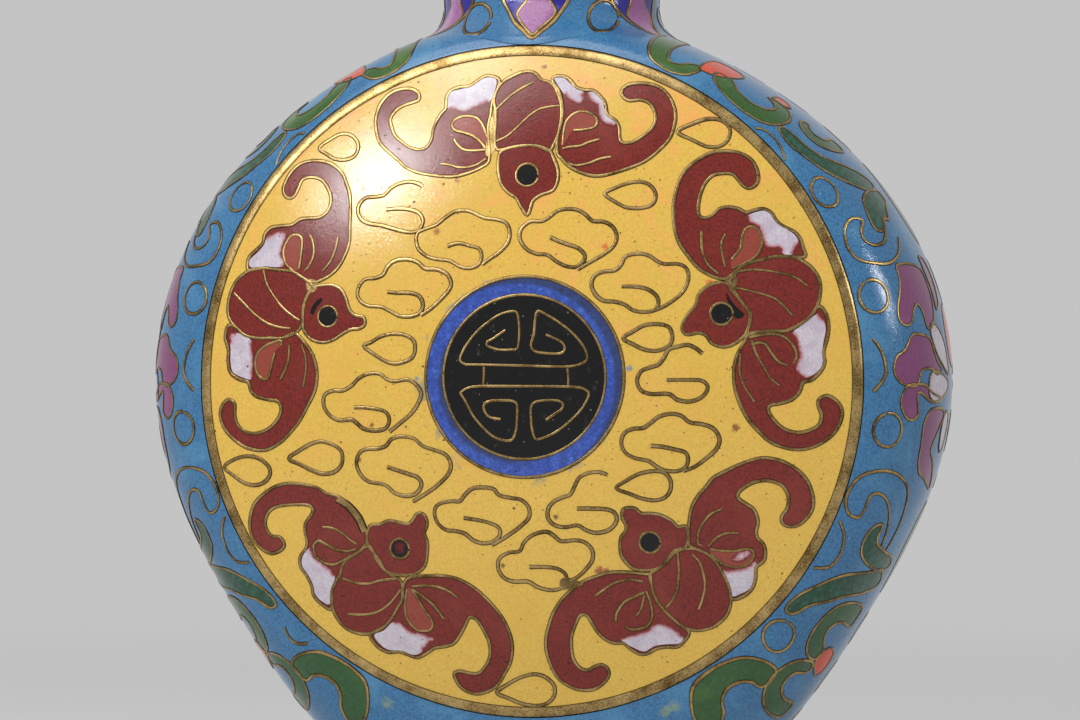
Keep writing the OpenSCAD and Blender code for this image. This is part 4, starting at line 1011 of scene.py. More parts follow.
# %% Clouds and drops
CLOUDS = outlines("""
cloud 3.4 15.4 4.2 15 5.3 14.6 6.4 14.2 7.1 13.5 7 12.8 6.2 12.2 5.1 12.3 4.1 12.8 3.1 13.5 2 13.6
  .9 14.1 .2 15 .1 15.9 .5 16.6 1.3 17.1 2.4 17.1 3.2 17.5 4.1 18.2 5.1 18.4 6.2 18.3 7.1 17.8
  7.9 17.1 9.1 17 10.1 16.4 10.5 15.3 10.1 14.3 9.1 13.5 7.9 12.8 6.4 11.9
cloud -7.8 14.5 -6.6 14.8 -5.3 14.5 -4.3 14.2 -4 13.4 -4.3 12.5 -5.3 12.1 -6.4 12.3 -7.5 12.9
  -8.9 13.1 -10 13.4 -11 14.2 -11.3 15.3 -11.1 16 -10.2 16.4 -9.1 16.8 -8.2 17.5 -7.1 18.2 -5.8 18.3
  -4.9 18 -3.8 17.5 -2.4 17.3 -1.4 16.9 -1 15.9 -1.2 14.8 -2.1 13.8 -3.1 13.1 -3.9 12.5
cloud -14.8 18.5 -13.5 18.6 -12.2 18.5 -11.1 18.1 -10.6 17.3 -10.9 16.4 -11.8 16 -13.1 16.2
  -14.2 16.5 -15.3 16.8 -16.6 17 -17.5 17.4 -18 18.2 -17.9 19.1 -17.2 19.8 -16.2 19.9 -15.1 20.1
  -14.4 20.8 -13.5 21.3 -12.4 21.5 -11.3 21.3 -10.8 21
cloud -14.4 9.6 -13.3 9.5 -12 9.5 -10.9 9.2 -10.4 8.4 -10.6 7.5 -11.5 7 -12.9 7 -14 7.5 -15.1 8
  -16.4 8.1 -17.3 8.5 -17.8 9.3 -17.6 10.3 -16.9 11 -15.8 11.1 -14.9 11.5 -14.4 12.4 -13.5 13
  -12.2 13.1 -11.1 12.8 -10.2 12.1 -8.9 12 -7.8 11.5 -7.3 10.6 -7.5 9.8 -8.4 8.8 -9.5 7.8 -10.6 7.1
cloud 14.2 -6.8 15.4 -6.9 16.8 -7.2 17.8 -7.5 18.1 -8.2 17.8 -9.1 16.8 -9.5 15.6 -9.4 14.8 -9
  13.9 -8.4 12.5 -8.1 11.5 -7.5 11.1 -6.5 11.4 -5.5 12.3 -5 13.4 -4.9 14.3 -4.3 15.1 -3.7 16.3 -3.4
  17.4 -3.6 18.3 -4.3 19.6 -4.5 20.8 -5 21.4 -6.1 21 -7.2 19.9 -8.2 18.8 -9 17.6 -9.5
cloud 9.6 -9.9 8.8 -9.6 7.6 -9.7 6.6 -10.2 6.1 -11.1 5.6 -12 4.8 -12.3 3.8 -12.8 3.2 -13.6 3.2 -14.6
  3.9 -15.3 5 -15.5 6.3 -15.3 7.2 -15.8 8.3 -16.1 9.6 -15.8 10.4 -15 10.4 -14.1 9.6 -13.6 7.9 -13.5
  6.3 -13.5
cloud 1 -19.8 2.8 -19.8 4.1 -20 4.9 -20.6 4.9 -21.4 4.3 -22.1 3.2 -22.3 1.9 -22 .8 -21.4 -.8 -21.4
  -1.9 -20.9 -2.4 -19.9 -2.2 -18.9 -1.2 -18.3 0 -18.1 .5 -17.2 1.4 -16.4 2.8 -16 3.6 -16.3 4.5 -17
  5.9 -16.9 7 -17.1 7.8 -17.9 7.8 -19 7 -20.1 6.1 -20.9 5.2 -21.3
cloud -6 -14.6 -4.5 -14.8 -3.2 -15.1 -2.2 -15.6 -2.1 -16.4 -2.8 -17.1 -3.9 -17.3 -5 -17 -5.9 -16.3
  -7 -16 -8 -15.9 -8.8 -15.3 -9.2 -14.4 -9.1 -13.5 -8.4 -13 -7.3 -12.8 -6.4 -12.8 -5.8 -12.1
  -4.9 -11.4 -3.5 -11.3 -2.6 -11.5 -2.1 -12.1 -.8 -12.4 .3 -12.6 1.1 -13.4 1.1 -14.5 .1 -15.5
  -1 -16.3 -2.1 -17 -3 -17.5
cloud 19.6 3 19 3.5 18.1 3.9 17 3.7 16.1 3.4 15.6 2.5 15 1.8 14.1 1.5 13.2 1.1 12.8 .1 13.2 -.9
  14.3 -1.3 16.1 -1.3 17 -1.9 18.3 -2.1 19.6 -1.6 20.2 -.6 19.6 .1 18.3 .2 17 .2 15.9 .2
cloud 11.1 10.1 12.3 10.1 13.6 9.9 14.6 9.3 15 8.5 14.6 7.6 13.4 7.4 12.3 7.6 11.4 8.2 10.3 8.5
  9.2 8.6 8.3 9.3 7.9 10.4 8.3 11.3 9.2 11.7 10.3 11.8 11 12.4 11.5 13.3 12.8 13.6 13.9 13.4
  14.8 12.8 15.6 12.5 17 12.5 17.9 12 18.1 10.9 17.6 9.6 16.5 8.6 15.4 7.9 14.4 7.5
cloud -18.1 -2.8 -17 -2.8 -15.4 -3 -14.5 -3.3 -14.1 -4.1 -14.5 -5 -15.6 -5.3 -17 -5.1 -17.8 -4.5
  -18.5 -4.1 -19.9 -4.2 -21 -3.6 -21.6 -2.6 -21.5 -1.5 -20.5 -1 -19.4 -1 -18.3 -.4 -17.6 .3 -16.5 .8
  -15.2 .8 -14.3 .2 -13.4 0 -12.1 .2 -11.1 -.3 -10.5 -1.3 -10.9 -2.4 -11.6 -3.4 -12.8 -4.4
  -14.1 -5.4
cloud -14.4 -9.2 -13.4 -9.5 -12.1 -9.9 -11 -10.3 -10.6 -11.1 -11.2 -12 -12.3 -12.3 -13.6 -12
  -14.4 -11.3 -15.2 -11 -16.5 -10.8 -17.4 -10.1 -17.9 -8.9 -17.6 -7.8 -16.8 -7.3 -15.4 -7.2
  -14.5 -6.9 -13.9 -6.2 -12.8 -5.9 -11.4 -6.1 -10.4 -6.9 -9.2 -7.3 -7.9 -7.8 -7.3 -8.8 -7.6 -9.9
  -8.8 -11.1 -10.1 -12 -11.6 -12.9
drop 9.1 20 10.1 20.6 11.4 21.1 12.8 21.3 13.9 20.9 14.5 19.9 14.2 18.9 13.2 18.5 11.6 18.5
  10.3 19.1
drop 11.3 4.6 12.3 5.3 13.6 6 15 6.1 16.1 5.8 16.5 4.8 16.2 3.9 15 3.3 13.6 3.4 12.3 4
drop -17 3.8 -16.2 4.2 -15.1 4.8 -13.8 5.1 -12.4 5 -11.4 4.4 -11.2 3.5 -11.5 2.6 -12.4 2.1 -13.5 1.9
  -14.6 2.2 -15.8 2.9
drop 10.5 -11.3 11.6 -10.5 12.9 -9.8 14.3 -9.5 15.5 -9.6 16.2 -10.4 16.2 -11.5 15.6 -12.3 14.5 -12.6
  13.2 -12.4 11.9 -11.9
drop -25.8 -8.4 -24.5 -7.5 -23.2 -6.8 -21.9 -6.5 -20.5 -6.9 -19.6 -7.6 -19.6 -8.9 -20.5 -9.8
  -21.9 -10 -23.2 -9.6 -24.5 -9
drop 16.6 26.7 18.2 27.6 19.8 28.1 21.2 27.9 22.1 27 21.9 25.8 21 25.1 19.7 25.1 18.2 25.8
drop -22.9 25.4 -21.7 26.3 -20.4 26.9 -19.2 26.7 -18.4 25.8 -18.5 24.7 -19.4 24.1 -20.8 24.1
  -22 24.7
drop -33.6 -9.4 -32.2 -8.5 -30.7 -8.2 -29.2 -8.5 -28.1 -9.5 -28.3 -10.6 -29.5 -11.3 -31 -11.2
  -32.4 -10.4
drop -3.2 -33.6 -2 -32.7 -.5 -31.9 1 -31.5 2.2 -31.8 3.1 -32.7 3.1 -33.8 2.3 -34.7 1 -35 -.5 -34.8
  -2 -34.2
""")
print("clouds:", len(CLOUDS["cloud"]), "drops:", len(CLOUDS["drop"]))

# %% [markdown]
# The roundel's fret is a round form of a sign for long life. Its points go from its own middle.

# %% The fret in the roundel
ROUNDEL = (0.7, 0.5)
ROUNDEL_R, DISC_R = 10.7, 8.75
FRET = outlines("""
wire -1.3 5.5 -2.6 4.6 -3.3 4.2 -3.2 3.8 -2 3.4 -.6 3.4 0 3.5 .2 4.6 .2 6 0 7.2 -.4 7.5 -1.8 7.2
  -3.1 6.4 -4.4 5.3 -5.6 3.8 -6.2 2.6 -6.1 2.1 -5.5 1.8
wire -5.6 1.8 -4 1.8 .4 1.7 5.4 1.6 7.1 2 7.5 2.6 7.1 3.8 5.8 5.3 4.2 6.5 2.6 7.4 2.1 7.4 1.9 6.4
  1.8 5.1 1.5 3.8 2 3.2 3.3 3 4.6 3 5.1 3.4 4.9 4.1 4 4.6 3.1 5
wire -3.6 1.6 -3.6 .6 -3.7 -.4
wire 5.4 1.5 5.5 .5 5.5 -.4
wire -6.2 -1.2 -5.4 -.7 -3.9 -.5 -.1 -.5 3.4 -.5 6.5 -.6 7.4 -.9 7.7 -1.3 7.3 -2.3 6.5 -3.4 5.2 -4.6
  3.9 -5.5 2.5 -6.1 1.9 -6 1.6 -5 1.5 -3.9 1.5 -2.8 1.9 -2.2 3 -2 4.3 -2 4.9 -2.3 4.8 -2.9 4.1 -3.4
  3.1 -4.1
wire -6.2 -1.2 -5.6 -2.1 -4.8 -3.6 -3.6 -5 -2.5 -5.9 -1.2 -6.3 -.5 -6.1 -.1 -5 0 -3.6 0 -2.5
  -.4 -2.1 -1.6 -2 -3 -2.1 -3.6 -2.5 -3.5 -3.2 -2.9 -3.8 -1.8 -4
""")
print("fret:", len(FRET["wire"]), "wires")

# %% [markdown]
# ## Making the medallions
#
# The front is built once, and the back is the same piece turned half round the vase's axis. The
# yellow field is one smooth disc. The red cells lie a few hundredths above it, with their edges
# under the wires. That small step can't be seen, and it keeps two skins from lying in one place,
# where they would flicker.

# %% The yellow field
field = Piece()
radii = np.linspace(0.02, field_r - FIT_GAP, 64)[:, None]
turns = np.linspace(0, 2 * np.pi, 240, endpoint=False)
field.grid(on_dome(radii * np.cos(turns), radii * np.sin(turns), 0.0), along=True, flip=True)

# %% Heights of the glass above the field, and widths of the wires
WING_H, BODY_H, HEAD_H, LEAF_H, PATCH_H, SMEAR_H, EYE_H, SOLDER_H = (
    0.02, 0.035, 0.045, 0.05, 0.06, 0.065, 0.07, 0.075
)
EDGE_WIRE, LEAF_WIRE, VEIN_WIRE, EYE_WIRE, SOLDER_WIRE = 0.4, 0.36, 0.32, 0.32, 0.9
FINE_FILL = 0.4
print("glass stands", WING_H, "to", SOLDER_H, "mm above the field")

# %% Bats
# A leaf with more points than this is a filled cell, and a shorter one is only a fold of wire
FOLD_POINTS = 7
# The white glass fades into the red only where no wire stands this near
WIRE_NEAR = 0.45
bats, bat_wires, patches, eyes = Piece(), Piece(), Piece(), Piece()
for bat, eye_r in zip(BATS, EYE_R):
    reds = [*bat["wing"], *bat["body"]]
    for line, height in zip([*reds, *bat["head"]], (WING_H, WING_H, BODY_H, HEAD_H)):
        add_cell(bats, line, on_dome, height)
        add_wire(bat_wires, line, on_dome, closed=True, width=EDGE_WIRE)
    for line in bat["leaf"]:
        if len(line) > FOLD_POINTS:
            add_cell(bats, line, on_dome, LEAF_H, tone=1.0)
        add_wire(bat_wires, line, on_dome, width=LEAF_WIRE)
    for line in bat["vein"]:
        add_wire(bat_wires, line, on_dome, width=VEIN_WIRE)
    wired = np.vstack([smooth_line(line, True, OUTLINE_STEP) for line in reds])
    for line in bat["patch"]:
        border = smooth_line(line, True, OUTLINE_STEP)
        free = border[nearest(border, wired) > WIRE_NEAR]
        add_cell(patches, line, on_dome, PATCH_H, spacing=FINE_FILL, fade_from=free)
    eye = bat["eye"][0][0]
    add_cell(eyes, arc(eye, eye_r, 0, 360, 41)[:-1], on_dome, EYE_H, smooth=False, spacing=0.5)
    add_wire(bat_wires, arc(eye, eye_r + 0.02, 0, 345, 30), on_dome, width=EYE_WIRE)

# %% Solder where many wires meet, and black glass that ran out beside two of the eyes
BLOTS = outlines("""
solder -3.9 24.3 -3.1 24.6 -2.8 25.8 -3.1 27.6 -3.4 28.6 -3.8 27
solder 22 10.5 22.9 10 23.2 10.8 22.8 11.5 22.1 11.2
solder -23.4 9.6 -22.6 9.9 -22.5 10.8 -23.3 11.1 -23.8 10.6
run -20.2 -12.7 -18.9 -13.5 -17.8 -14.8 -17.2 -16.2
smear 22.1 9.5 22.6 8.6 23.4 7.7 24 7.1 23.5 6.7 22.9 6.9 22.7 7.7 22.2 8.6
smear -23.2 7.3 -23 8.1 -22.4 8.8 -21.8 9 -22 8.5 -22.4 8.1 -22.7 7.6 -22.8 7.2
drip 4.3 -21.2 5 -20.9 6 -21.2 6.8 -21.6 6 -22 5 -22.2 4.3 -22.1
""")
for line in BLOTS["solder"]:
    add_cell(bat_wires, line, on_dome, SOLDER_H, tone=0.35, spacing=FINE_FILL)
add_wire(bat_wires, BLOTS["run"][0], on_dome, width=SOLDER_WIRE)
for line in BLOTS["smear"]:
    add_cell(eyes, line, on_dome, SMEAR_H, spacing=FINE_FILL)
print("bats:", bats.count, "points; wires:", bat_wires.count)

# %% Clouds and drops, and one drip of solder on a cloud
cloud_wires = Piece()
for line in CLOUDS["cloud"]:
    add_wire(cloud_wires, line, on_dome)
for line in CLOUDS["drop"]:
    add_wire(cloud_wires, line, on_dome, closed=True)
add_cell(cloud_wires, BLOTS["drip"][0], on_dome, 0.08, tone=0.4)
print("cloud wires:", cloud_wires.count, "points")


# %% Roundel: a blue ring and a black disc with the fret on it
def roundel_table(radii):
    return [ROUNDEL[k] + radii[:, None] * f(turns) for k, f in enumerate((np.cos, np.sin))]


roundel_ring, roundel_disc, roundel_wires = Piece(), Piece(), Piece()
ring_table = roundel_table(np.linspace(DISC_R - 0.1, ROUNDEL_R, 9))
roundel_ring.grid(on_dome(*ring_table, 0.03), along=True, flip=True)
disc_table = roundel_table(np.linspace(0.02, DISC_R, 26))
roundel_disc.grid(on_dome(*disc_table, 0.045), along=True, flip=True)
for line in FRET["wire"]:
    add_wire(roundel_wires, line, on_dome, width=0.34)
for radius, width in ((DISC_R, 0.34), (ROUNDEL_R, 0.38)):
    add_wire(roundel_wires, arc(ROUNDEL, radius, 0, 360, 49)[:-1], on_dome, closed=True, width=width)

# %% [markdown]
# The gilt band hides the joint between the medallion's plate and the side. It was hammered over the
# edge, so it swells in the middle and has small dents. Both of its edges are painted dark, as
# painted shade where it meets the glass. Three sine waves of different lengths give the dents, and
# come out the same each time.

# %% Gilt band round the medallion
BAND_SWELL, DENT = 0.15, 0.02
band = Piece()
band_steps = np.linspace(0, 1, 11)
band_rows = blend(field_r - 0.05, band_r, band_steps)[:, None]
band_rise = BAND_SWELL * np.sin(np.pi * np.clip(band_steps, 0.04, 1)) ** 0.4 - 0.02
band_turns = np.linspace(0, 2 * np.pi, 420, endpoint=False)
dents = sum(DENT * np.sin(waves * band_turns + shift) for waves, shift in ((7, 0), (23, 1), (61, 0)))
# Painted shade: the band darkens toward both its edges
shaded_band_edges = np.clip(1 - np.minimum(band_steps, 1.05 - band_steps) / 0.16, 0, 1)
band_x, band_z = band_rows * np.cos(band_turns), band_rows * np.sin(band_turns)
band_skin = on_dome(band_x, band_z, band_rise[:, None] * (1 + 2 * dents))
band.grid(band_skin, along=True, flip=True, tone=np.repeat(shaded_band_edges, len(band_turns)))

# %% Set the pieces on both faces
MEDALLION = {
    "field": (field, "yellow"),
    "bats": (bats, "brick"),
    "wing_patches": (patches, "lavender"),
    "eyes": (eyes, "black"),
    "bat_wires": (bat_wires, "gilt"),
    "cloud_wires": (cloud_wires, "gilt"),
    "roundel_ring": (roundel_ring, "cobalt"),
    "roundel_disc": (roundel_disc, "black"),
    "roundel_wires": (roundel_wires, "gilt"),
    "band": (band, "band"),
}
for face, half_turn in (("front", False), ("back", True)):
    for part, (piece, look) in MEDALLION.items():
        piece.make(f"{face}_{part}_enamelled", look, f"{face}_{part}", half_turn)

# %% [markdown]
# ## The side
#
# One turquoise skin goes round the medallions. Scrolling leaves, lotus flowers and rings of wire are
# drawn on one quarter, and mirrored to the other three, as the maker's own paper pattern was turned
# over. Points go along the rim, and out from the mid-plane.

# %% Turquoise ground, open where the neck and the foot stand
side_turns = np.linspace(-180, 180, 480, endpoint=False)[None, :]
side_rows = np.sin(np.linspace(-np.pi / 2, np.pi / 2, 81))[:, None]
ground = Piece()
ground.grid(on_side(side_turns + 0 * side_rows, side_rows + 0 * side_turns, 0.0), along=True)
points = ground.points[0]
from_axis = np.hypot(points[:, 0], points[:, 1])
under_neck = (from_axis < FILLET_R - 0.9) & (points[:, 2] > medallion_z)
above_foot = points[:, 2] > foot_z - 1.5
ground.faces = [
    face for face in ground.faces if above_foot[face].all() and not under_neck[face].any()
]
ground.make("side_ground_enamelled", "turquoise", "side_ground")

# %% [markdown]
# One quarter of the drawing: a lotus flower on the widest line, with scrolling leaves and orange
# buds above and below it. Flat curve objects would have to be bent round the side afterwards. Laid
# through the side's own surface, each petal keeps its outline, and its wire stands square to the
# skin all the way.

# %% Leaves, lotus petals, white hearts, orange buds and scrolls of wire
FLANK = outlines("""
leaf 52.5 1.8 52.9 7.4 52.7 13 51.6 16.5 49.2 17.9 46.9 16.9 45.8 13.9 46.3 12.7 47.4 13.5 48.2 14.9
  49.4 15.2 50 13.9 50.2 10.5 50 6.4 50.2 1.8
leaf 44.1 12 43.4 14.5 41.1 16.3 38.2 16.8 35.5 15.9 34.1 13.6 33.8 11 34.7 8.6 36.7 8.1 37.6 8.9
  36.4 9.8 36 11.3 36.7 12.9 38.4 13.8 40.4 13.3 41.5 11.9 42.3 11 43.6 11.1
leaf 33.7 13.7 33.4 14.9 31.3 15.5 28.9 14.8 26.3 13.5 24.3 11.5 22.7 9.1 22.1 6.6 22.6 5.3 23.9 5.9
  25.6 8.4 27.6 11.4 29.7 12.9 32.2 13.2
leaf 33 8.4 32.6 9.8 31.3 10.7 29.4 10.3 28 8 27.7 5.3 29.4 5.3 29.7 7.7 30.8 8.8 31.8 8.4 32 7.6
  32.7 7.6
leaf 21.9 5.3 22.1 8.4 21.4 10.5 19.9 11.4 18 11.7 17.3 10.7 17.8 9.3 18.6 8.6 18.4 7.6 19.7 6.2
  20.5 5
leaf -16.5 11.7 -17.3 12.9 -19 13.3 -20.6 12.4 -21.4 9.9 -21.6 6.6 -20.8 4.3 -19.8 5.3 -19.4 7.8
  -18.9 10.2 -18.1 11.2 -16.9 11.2
leaf -21.4 6.2 -21.9 8.4 -22.6 11 -23.6 13.5 -25.2 15.4 -27.8 17.3 -29.8 17.9 -30.9 17.6 -30.5 16.5
  -28.6 15.4 -27.2 13.5 -25.6 11 -24.5 7.7 -23 4.6
leaf -26.1 5.3 -26 8.9 -27.2 11.4 -29.6 12.5 -31.9 12.2 -33.3 10.9 -33.5 9 -32.6 8.1 -31.8 8.6
  -31.1 9.6 -30 10.2 -28.9 9.5 -28.4 7.9 -28.5 5.3
leaf -33.8 9 -34.4 11 -35.8 12.4 -38.1 12.9 -40.1 11.7 -40.9 9.3 -40.5 6.4 -38.7 5.9 -38.7 8.6
  -38.1 10.3 -36.9 10.8 -35.8 10.2 -35.1 8.4 -34.2 8.1
leaf -36.9 13.3 -37.3 15.5 -38.8 17.3 -41.2 18.1 -43.8 18.2 -46.2 17.6 -47.6 15.5 -47.4 13.5
  -45.9 12.9 -44.6 13.7 -43.9 15 -42.6 15.7 -41 15.4 -39.9 14.4 -39.5 13 -38.1 12.6
petal 13.1 10.9 11.8 11.1 10 12 8.5 12.9 7 13.1 6.3 12.2 6.6 11.1 7.8 10.3 8.5 9.2 7.5 8.4 5.8 8
  6 6.6 7.5 5.4 9.8 4.9 11.9 5.2 12.7 6.6 13.1 8.9
petal 5 9.1 5.2 11.3 3.6 12.9 2.8 14.3 1.2 14.8 0 14 -.5 12.7 -.4 11.1 1.1 10.3 1.4 8.4 .8 6.8
  1.2 5.3 2.4 6.7 4.5 7.8
petal -.5 12.7 -2.1 13.7 -3.8 13 -4.3 11.7 -3.6 10.6 -1.8 11 -1.2 10.5 -2.1 8.4 -2.2 6.4 -1.8 5.3
  -1.3 7.7 -.4 9.5 -.3 11
petal -3.3 8.3 -4.7 9.2 -6.9 9 -8.7 8.7 -10 7.7 -10.4 6.2 -11.2 4.1 -11.6 2.4 -9.9 3.5 -8.4 5
  -7.4 6.3 -5.4 5.3 -3.6 3.8 -2.9 5 -2.9 6.9
petal 13.6 4.1 12.4 4.3 9.9 4 7.8 4.2 8.5 2.6 11.1 1.8 13.1 2.4
heart 6.3 6.6 5.2 7.4 3.2 6.6 1.7 4.8 .8 2.7 2.5 3 4.4 3.8 5.8 5.3
heart 1.1 7.4 .4 8.5 -1.4 8.6 -2.2 7.3 -1.8 5.3 -.8 3.1 .1 3.3 .8 5.3
heart -3.3 3.3 -5.1 4.1 -7.1 3.5 -7.4 2.3 -5.4 1.5 -3.6 1.8
bud 46 12.9 44.8 13.3 43.2 12 41.9 9.4 41.7 6.8 43.4 5.9 45.3 6.8 45.9 9.4
bud 37.2 7.9 35.8 7.8 35.2 6.8 36 5.6 37.2 6
bud -31.8 7.7 -33 8.5 -34.2 7.6 -34.9 5.9 -34 4.6 -32.2 4.9 -31.5 6.4
scroll 18.9 8.9 17.8 9.4 16.2 11 16 13 16.9 14.3 18.1 14.2 19.2 13 19.9 14.7 19 16.5 17 17.2
  15.1 16.5 14.1 14.5 13.6 12 14.3 9.5 16.1 7.6
scroll 5.2 17.2 3.5 16.3 1.5 15.9 .2 16.3 -1.2 17.5
scroll 35.7 18 34.9 17.1 33.2 16.8 31.6 17.3 30.2 18.3
scroll -17.8 18 -19.3 16.5 -21.6 15.7 -23.5 16.3 -24.5 18.1
scroll -19.1 7.9 -16 7.7 -12.7 8.6 -11.1 10.5 -10.4 13.5 -11.1 16.5 -12.7 18 -15 18.3 -16.5 17.3
  -16.6 15.7 -15.3 15.3 -13.7 15.2 -13.2 13.9 -14 12 -16.2 10.3 -19.1 9.4
""")
# How dark each leaf's glass is
LEAF_DARK = (0, 0, 0.9, 0.4, 0.9, 0.9, 0.9, 0.4, 0.4, 0.3)
print("on each quarter:", {kind: len(lines) for kind, lines in FLANK.items()})

# %% [markdown]
# Between the flower and the scrolls stand small rings of wire, which keep the turquoise from
# cracking. Along the mid-plane a lotus pod and two stem leaves join the drawing of both faces. Near
# the mid-plane one unit out is a longer way on the vase, so rings there are drawn narrower.

# %% Rings, the pod and the stem leaves
# On the left of the front the curve takes the place of the lowest ring
MIDDLE = outlines("""
curve -33.6 16.4 -34.8 15.9 -36 16.1 -37.1 17.2
pod 8.2 0 7.2 1.5 4.8 2.1 2.6 1.5 1.6 0 2.6 -1.5 4.8 -2.1 7.2 -1.5
stem 25.8 0 23 1.3 19.6 2 16.6 1.4 15.2 0 16.6 -1.4 19.6 -2 23 -1.3
stem -13.2 0 -14.8 1.5 -18 2 -21.4 1.2 -24.2 0 -21.4 -1.2 -18 -2 -14.8 -1.5
""")
RINGS = [(24.2, 16.1), (10.3, 16), (-5.7, 15.1), (-33.8, 16.1)]
RING_R = 2.0
MIDDLE_RINGS = [30, 36.4, 42.6, -28.8, -35, -41.2]
MIDDLE_SCALE = (1, 0.56)
print("rings:", len(RINGS), "on a quarter,", len(MIDDLE_RINGS), "along each mid-plane")

# %% Four quarters of the side
petals, hearts, leaves, buds, side_wires = (Piece() for _ in range(5))
FLOWER = {"petal": (petals, 0.02), "heart": (hearts, 0.04), "bud": (buds, 0.04)}
for side in (-1, 1):
    for face in (-1, 1):
        place = on_flank(side, face)
        for kind, (group, height) in FLOWER.items():
            for line in FLANK[kind]:
                add_cell(group, line, place, height, tone=1.0)
                add_wire(side_wires, line, place, closed=True, width=LEAF_WIRE)
        for line, dark in zip(FLANK["leaf"], LEAF_DARK):
            add_cell(leaves, line, place, 0.03, tone=dark)
            add_wire(side_wires, line, place, closed=True)
        for line in FLANK["scroll"]:
            add_wire(side_wires, line, place)
        left_front = (side, face) == (-1, -1)
        for centre in RINGS[:-1] if left_front else RINGS:
            add_wire(side_wires, arc(centre, RING_R, 20, 372, 20), place)
        if left_front:
            add_wire(side_wires, MIDDLE["curve"][0], place)
    place = on_flank(side, 1)
    for kind, group, height, dark in (("pod", buds, 0.04, 1.0), ("stem", leaves, 0.02, 0.4)):
        for line in MIDDLE[kind]:
            add_cell(group, line, place, height, tone=dark)
            add_wire(side_wires, line, place, closed=True, proud=0.04)
    for along in MIDDLE_RINGS:
        middle_ring = arc((along, 0), RING_R, 20, 372, 20) * MIDDLE_SCALE
        add_wire(side_wires, middle_ring, place, proud=0.03)
petals.make("lotus_petals_enamelled", "magenta", "lotus_petals")
hearts.make("lotus_hearts_enamelled", "lavender", "lotus_hearts")
leaves.make("scroll_leaves_enamelled", "green", "scroll_leaves")
buds.make("orange_buds_enamelled", "orange", "orange_buds")
side_wires.make("side_wires_drawn", "gilt", "side_wires")

# %% [markdown]
# ## Neck, mouth and foot
#
# The neck's tube was raised from a sheet and soldered on. Its enamel starts on the shoulder, turns up
# through the collar and widens at the mouth. In one grid the rows go up and the columns go round, so
# the turquoise has no seam where shoulder and neck meet.

# %% Neck
neck = Piece()
neck_turns = np.linspace(-np.pi, np.pi, 240, endpoint=False)
start_z = np.interp(neck_turns, compass, fillet_z)
start_slope = np.interp(neck_turns, compass, fillet_slope)
knee_z = start_z + start_slope * (FILLET_R - NECK_R)
t = np.linspace(0, 1, 28)[:, None]
collar_z = (1 - t) ** 2 * start_z + 2 * t * (1 - t) * knee_z + t**2 * neck_top_of_collar
tube_z = np.linspace(neck_top_of_collar, mouth_z + 0.1, 40)[1:, None] + 0 * start_z
heights = np.vstack([start_z - 0.4 * start_slope - 0.02, collar_z, tube_z])
radii = neck_radius(neck_turns[None, :] + 0 * heights, heights)
radii[0] = FILLET_R + 0.4
neck_skin = np.stack([radii * np.sin(neck_turns), -radii * np.cos(neck_turns), heights], -1)
neck.grid(neck_skin, along=True)
neck.make("neck_ground_enamelled", "turquoise", "neck_ground")

# %% [markdown]
# Six pointed lappets hang round the neck's foot, a cobalt leaf with a mauve diamond inside. They
# aren't quite evenly spaced, and the small rings of wire stand where there was room. Above them a
# cloud, a small curl and three hoops of wire go round the neck.

# %% Lappets: their directions, and outlines that go round and up
LAPPET_TURNS = np.radians([0.8, 60, 120, 180, 242, 306])
NECK = outlines("""
lappet .2 -.6 1.3 .3 2.3 1.3 3 2.5 3.7 3.8 4.1 5.4 4.1 7 3.7 9 2.6 10.8 1.3 11.8 0 12.5 -1.3 11.8
  -2.6 10.8 -3.7 9 -4.1 7 -4.1 5.4 -3.6 3.8 -2.8 2.5 -2 1.3 -.9 .3
diamond .2 -.2 1 .6 1.8 1.4 2.4 2.3 2.2 3 1.7 3.8 1.5 5 1.9 6.8 1.5 8.6 .1 10 -1.2 8.6 -1.6 6.8 -1 5
  -.9 3.8 -1.5 2.9 -1.8 2.2 -1.3 1.3 -.6 .5
drop 0 5.6 .8 7.2 1.2 9.2 .9 10.8 0 11.5 -.9 10.8 -1.2 9.2 -.8 7.2
cloud -2.9 21 -1.3 20.4 0 21.2 1.3 20.4 2.9 21 2.6 22.8 1.2 23.6 0 25 -1.2 23.6 -2.6 22.8
curl -2.1 17.6 -.9 19 .7 18.6 1.1 17.4 .1 16.9
""")
lappet, diamond, drop, cloud, curl = (lines[0] for lines in NECK.values())
# Rings of wire: the lappet that they stand beside, and their middle
NECK_RINGS = [(0, 7.9, 2), (0, -6.8, 1.8), (1, 6.9, 1.9), (2, 7.1, 1.8), (3, 6.8, 2), (4, 6.9, 1.8)]
HOOPS = (13.6, 15.4, 27.4)
print("lappets:", len(LAPPET_TURNS), "rings:", len(NECK_RINGS), "hoops:", len(HOOPS))

# %% Drawing on the neck
neck_mauve, neck_blue, neck_wires = Piece(), Piece(), Piece()
for turn, next_turn in zip(LAPPET_TURNS, np.roll(LAPPET_TURNS, -1)):
    place = on_neck(turn)
    add_cell(neck_blue, lappet, place, 0.01, spacing=0.5)
    add_cell(neck_mauve, diamond, place, 0.06, spacing=0.5)
    for line, width in ((lappet, 0.5), (diamond, EDGE_WIRE), (cloud, LEAF_WIRE)):
        add_wire(neck_wires, line, place, closed=True, width=width)
    between = on_neck(turn + ((next_turn - turn) % (2 * np.pi)) / 2)
    add_cell(neck_blue, drop, between, 0.03)
    add_wire(neck_wires, drop, between, closed=True, width=EDGE_WIRE)
    add_wire(neck_wires, curl, between, width=LEAF_WIRE)
for beside, along, up in NECK_RINGS:
    add_wire(neck_wires, arc((along, up), 1.85, 0, 350, 26), on_neck(LAPPET_TURNS[beside]))
for up in HOOPS:
    around = np.linspace(-np.pi, np.pi, 73)[:-1] * float(neck_radius(0.0, neck_foot_z + up))
    add_wire(neck_wires, np.stack([around, up + 0 * around], 1), on_neck(0.0), step=0.5)
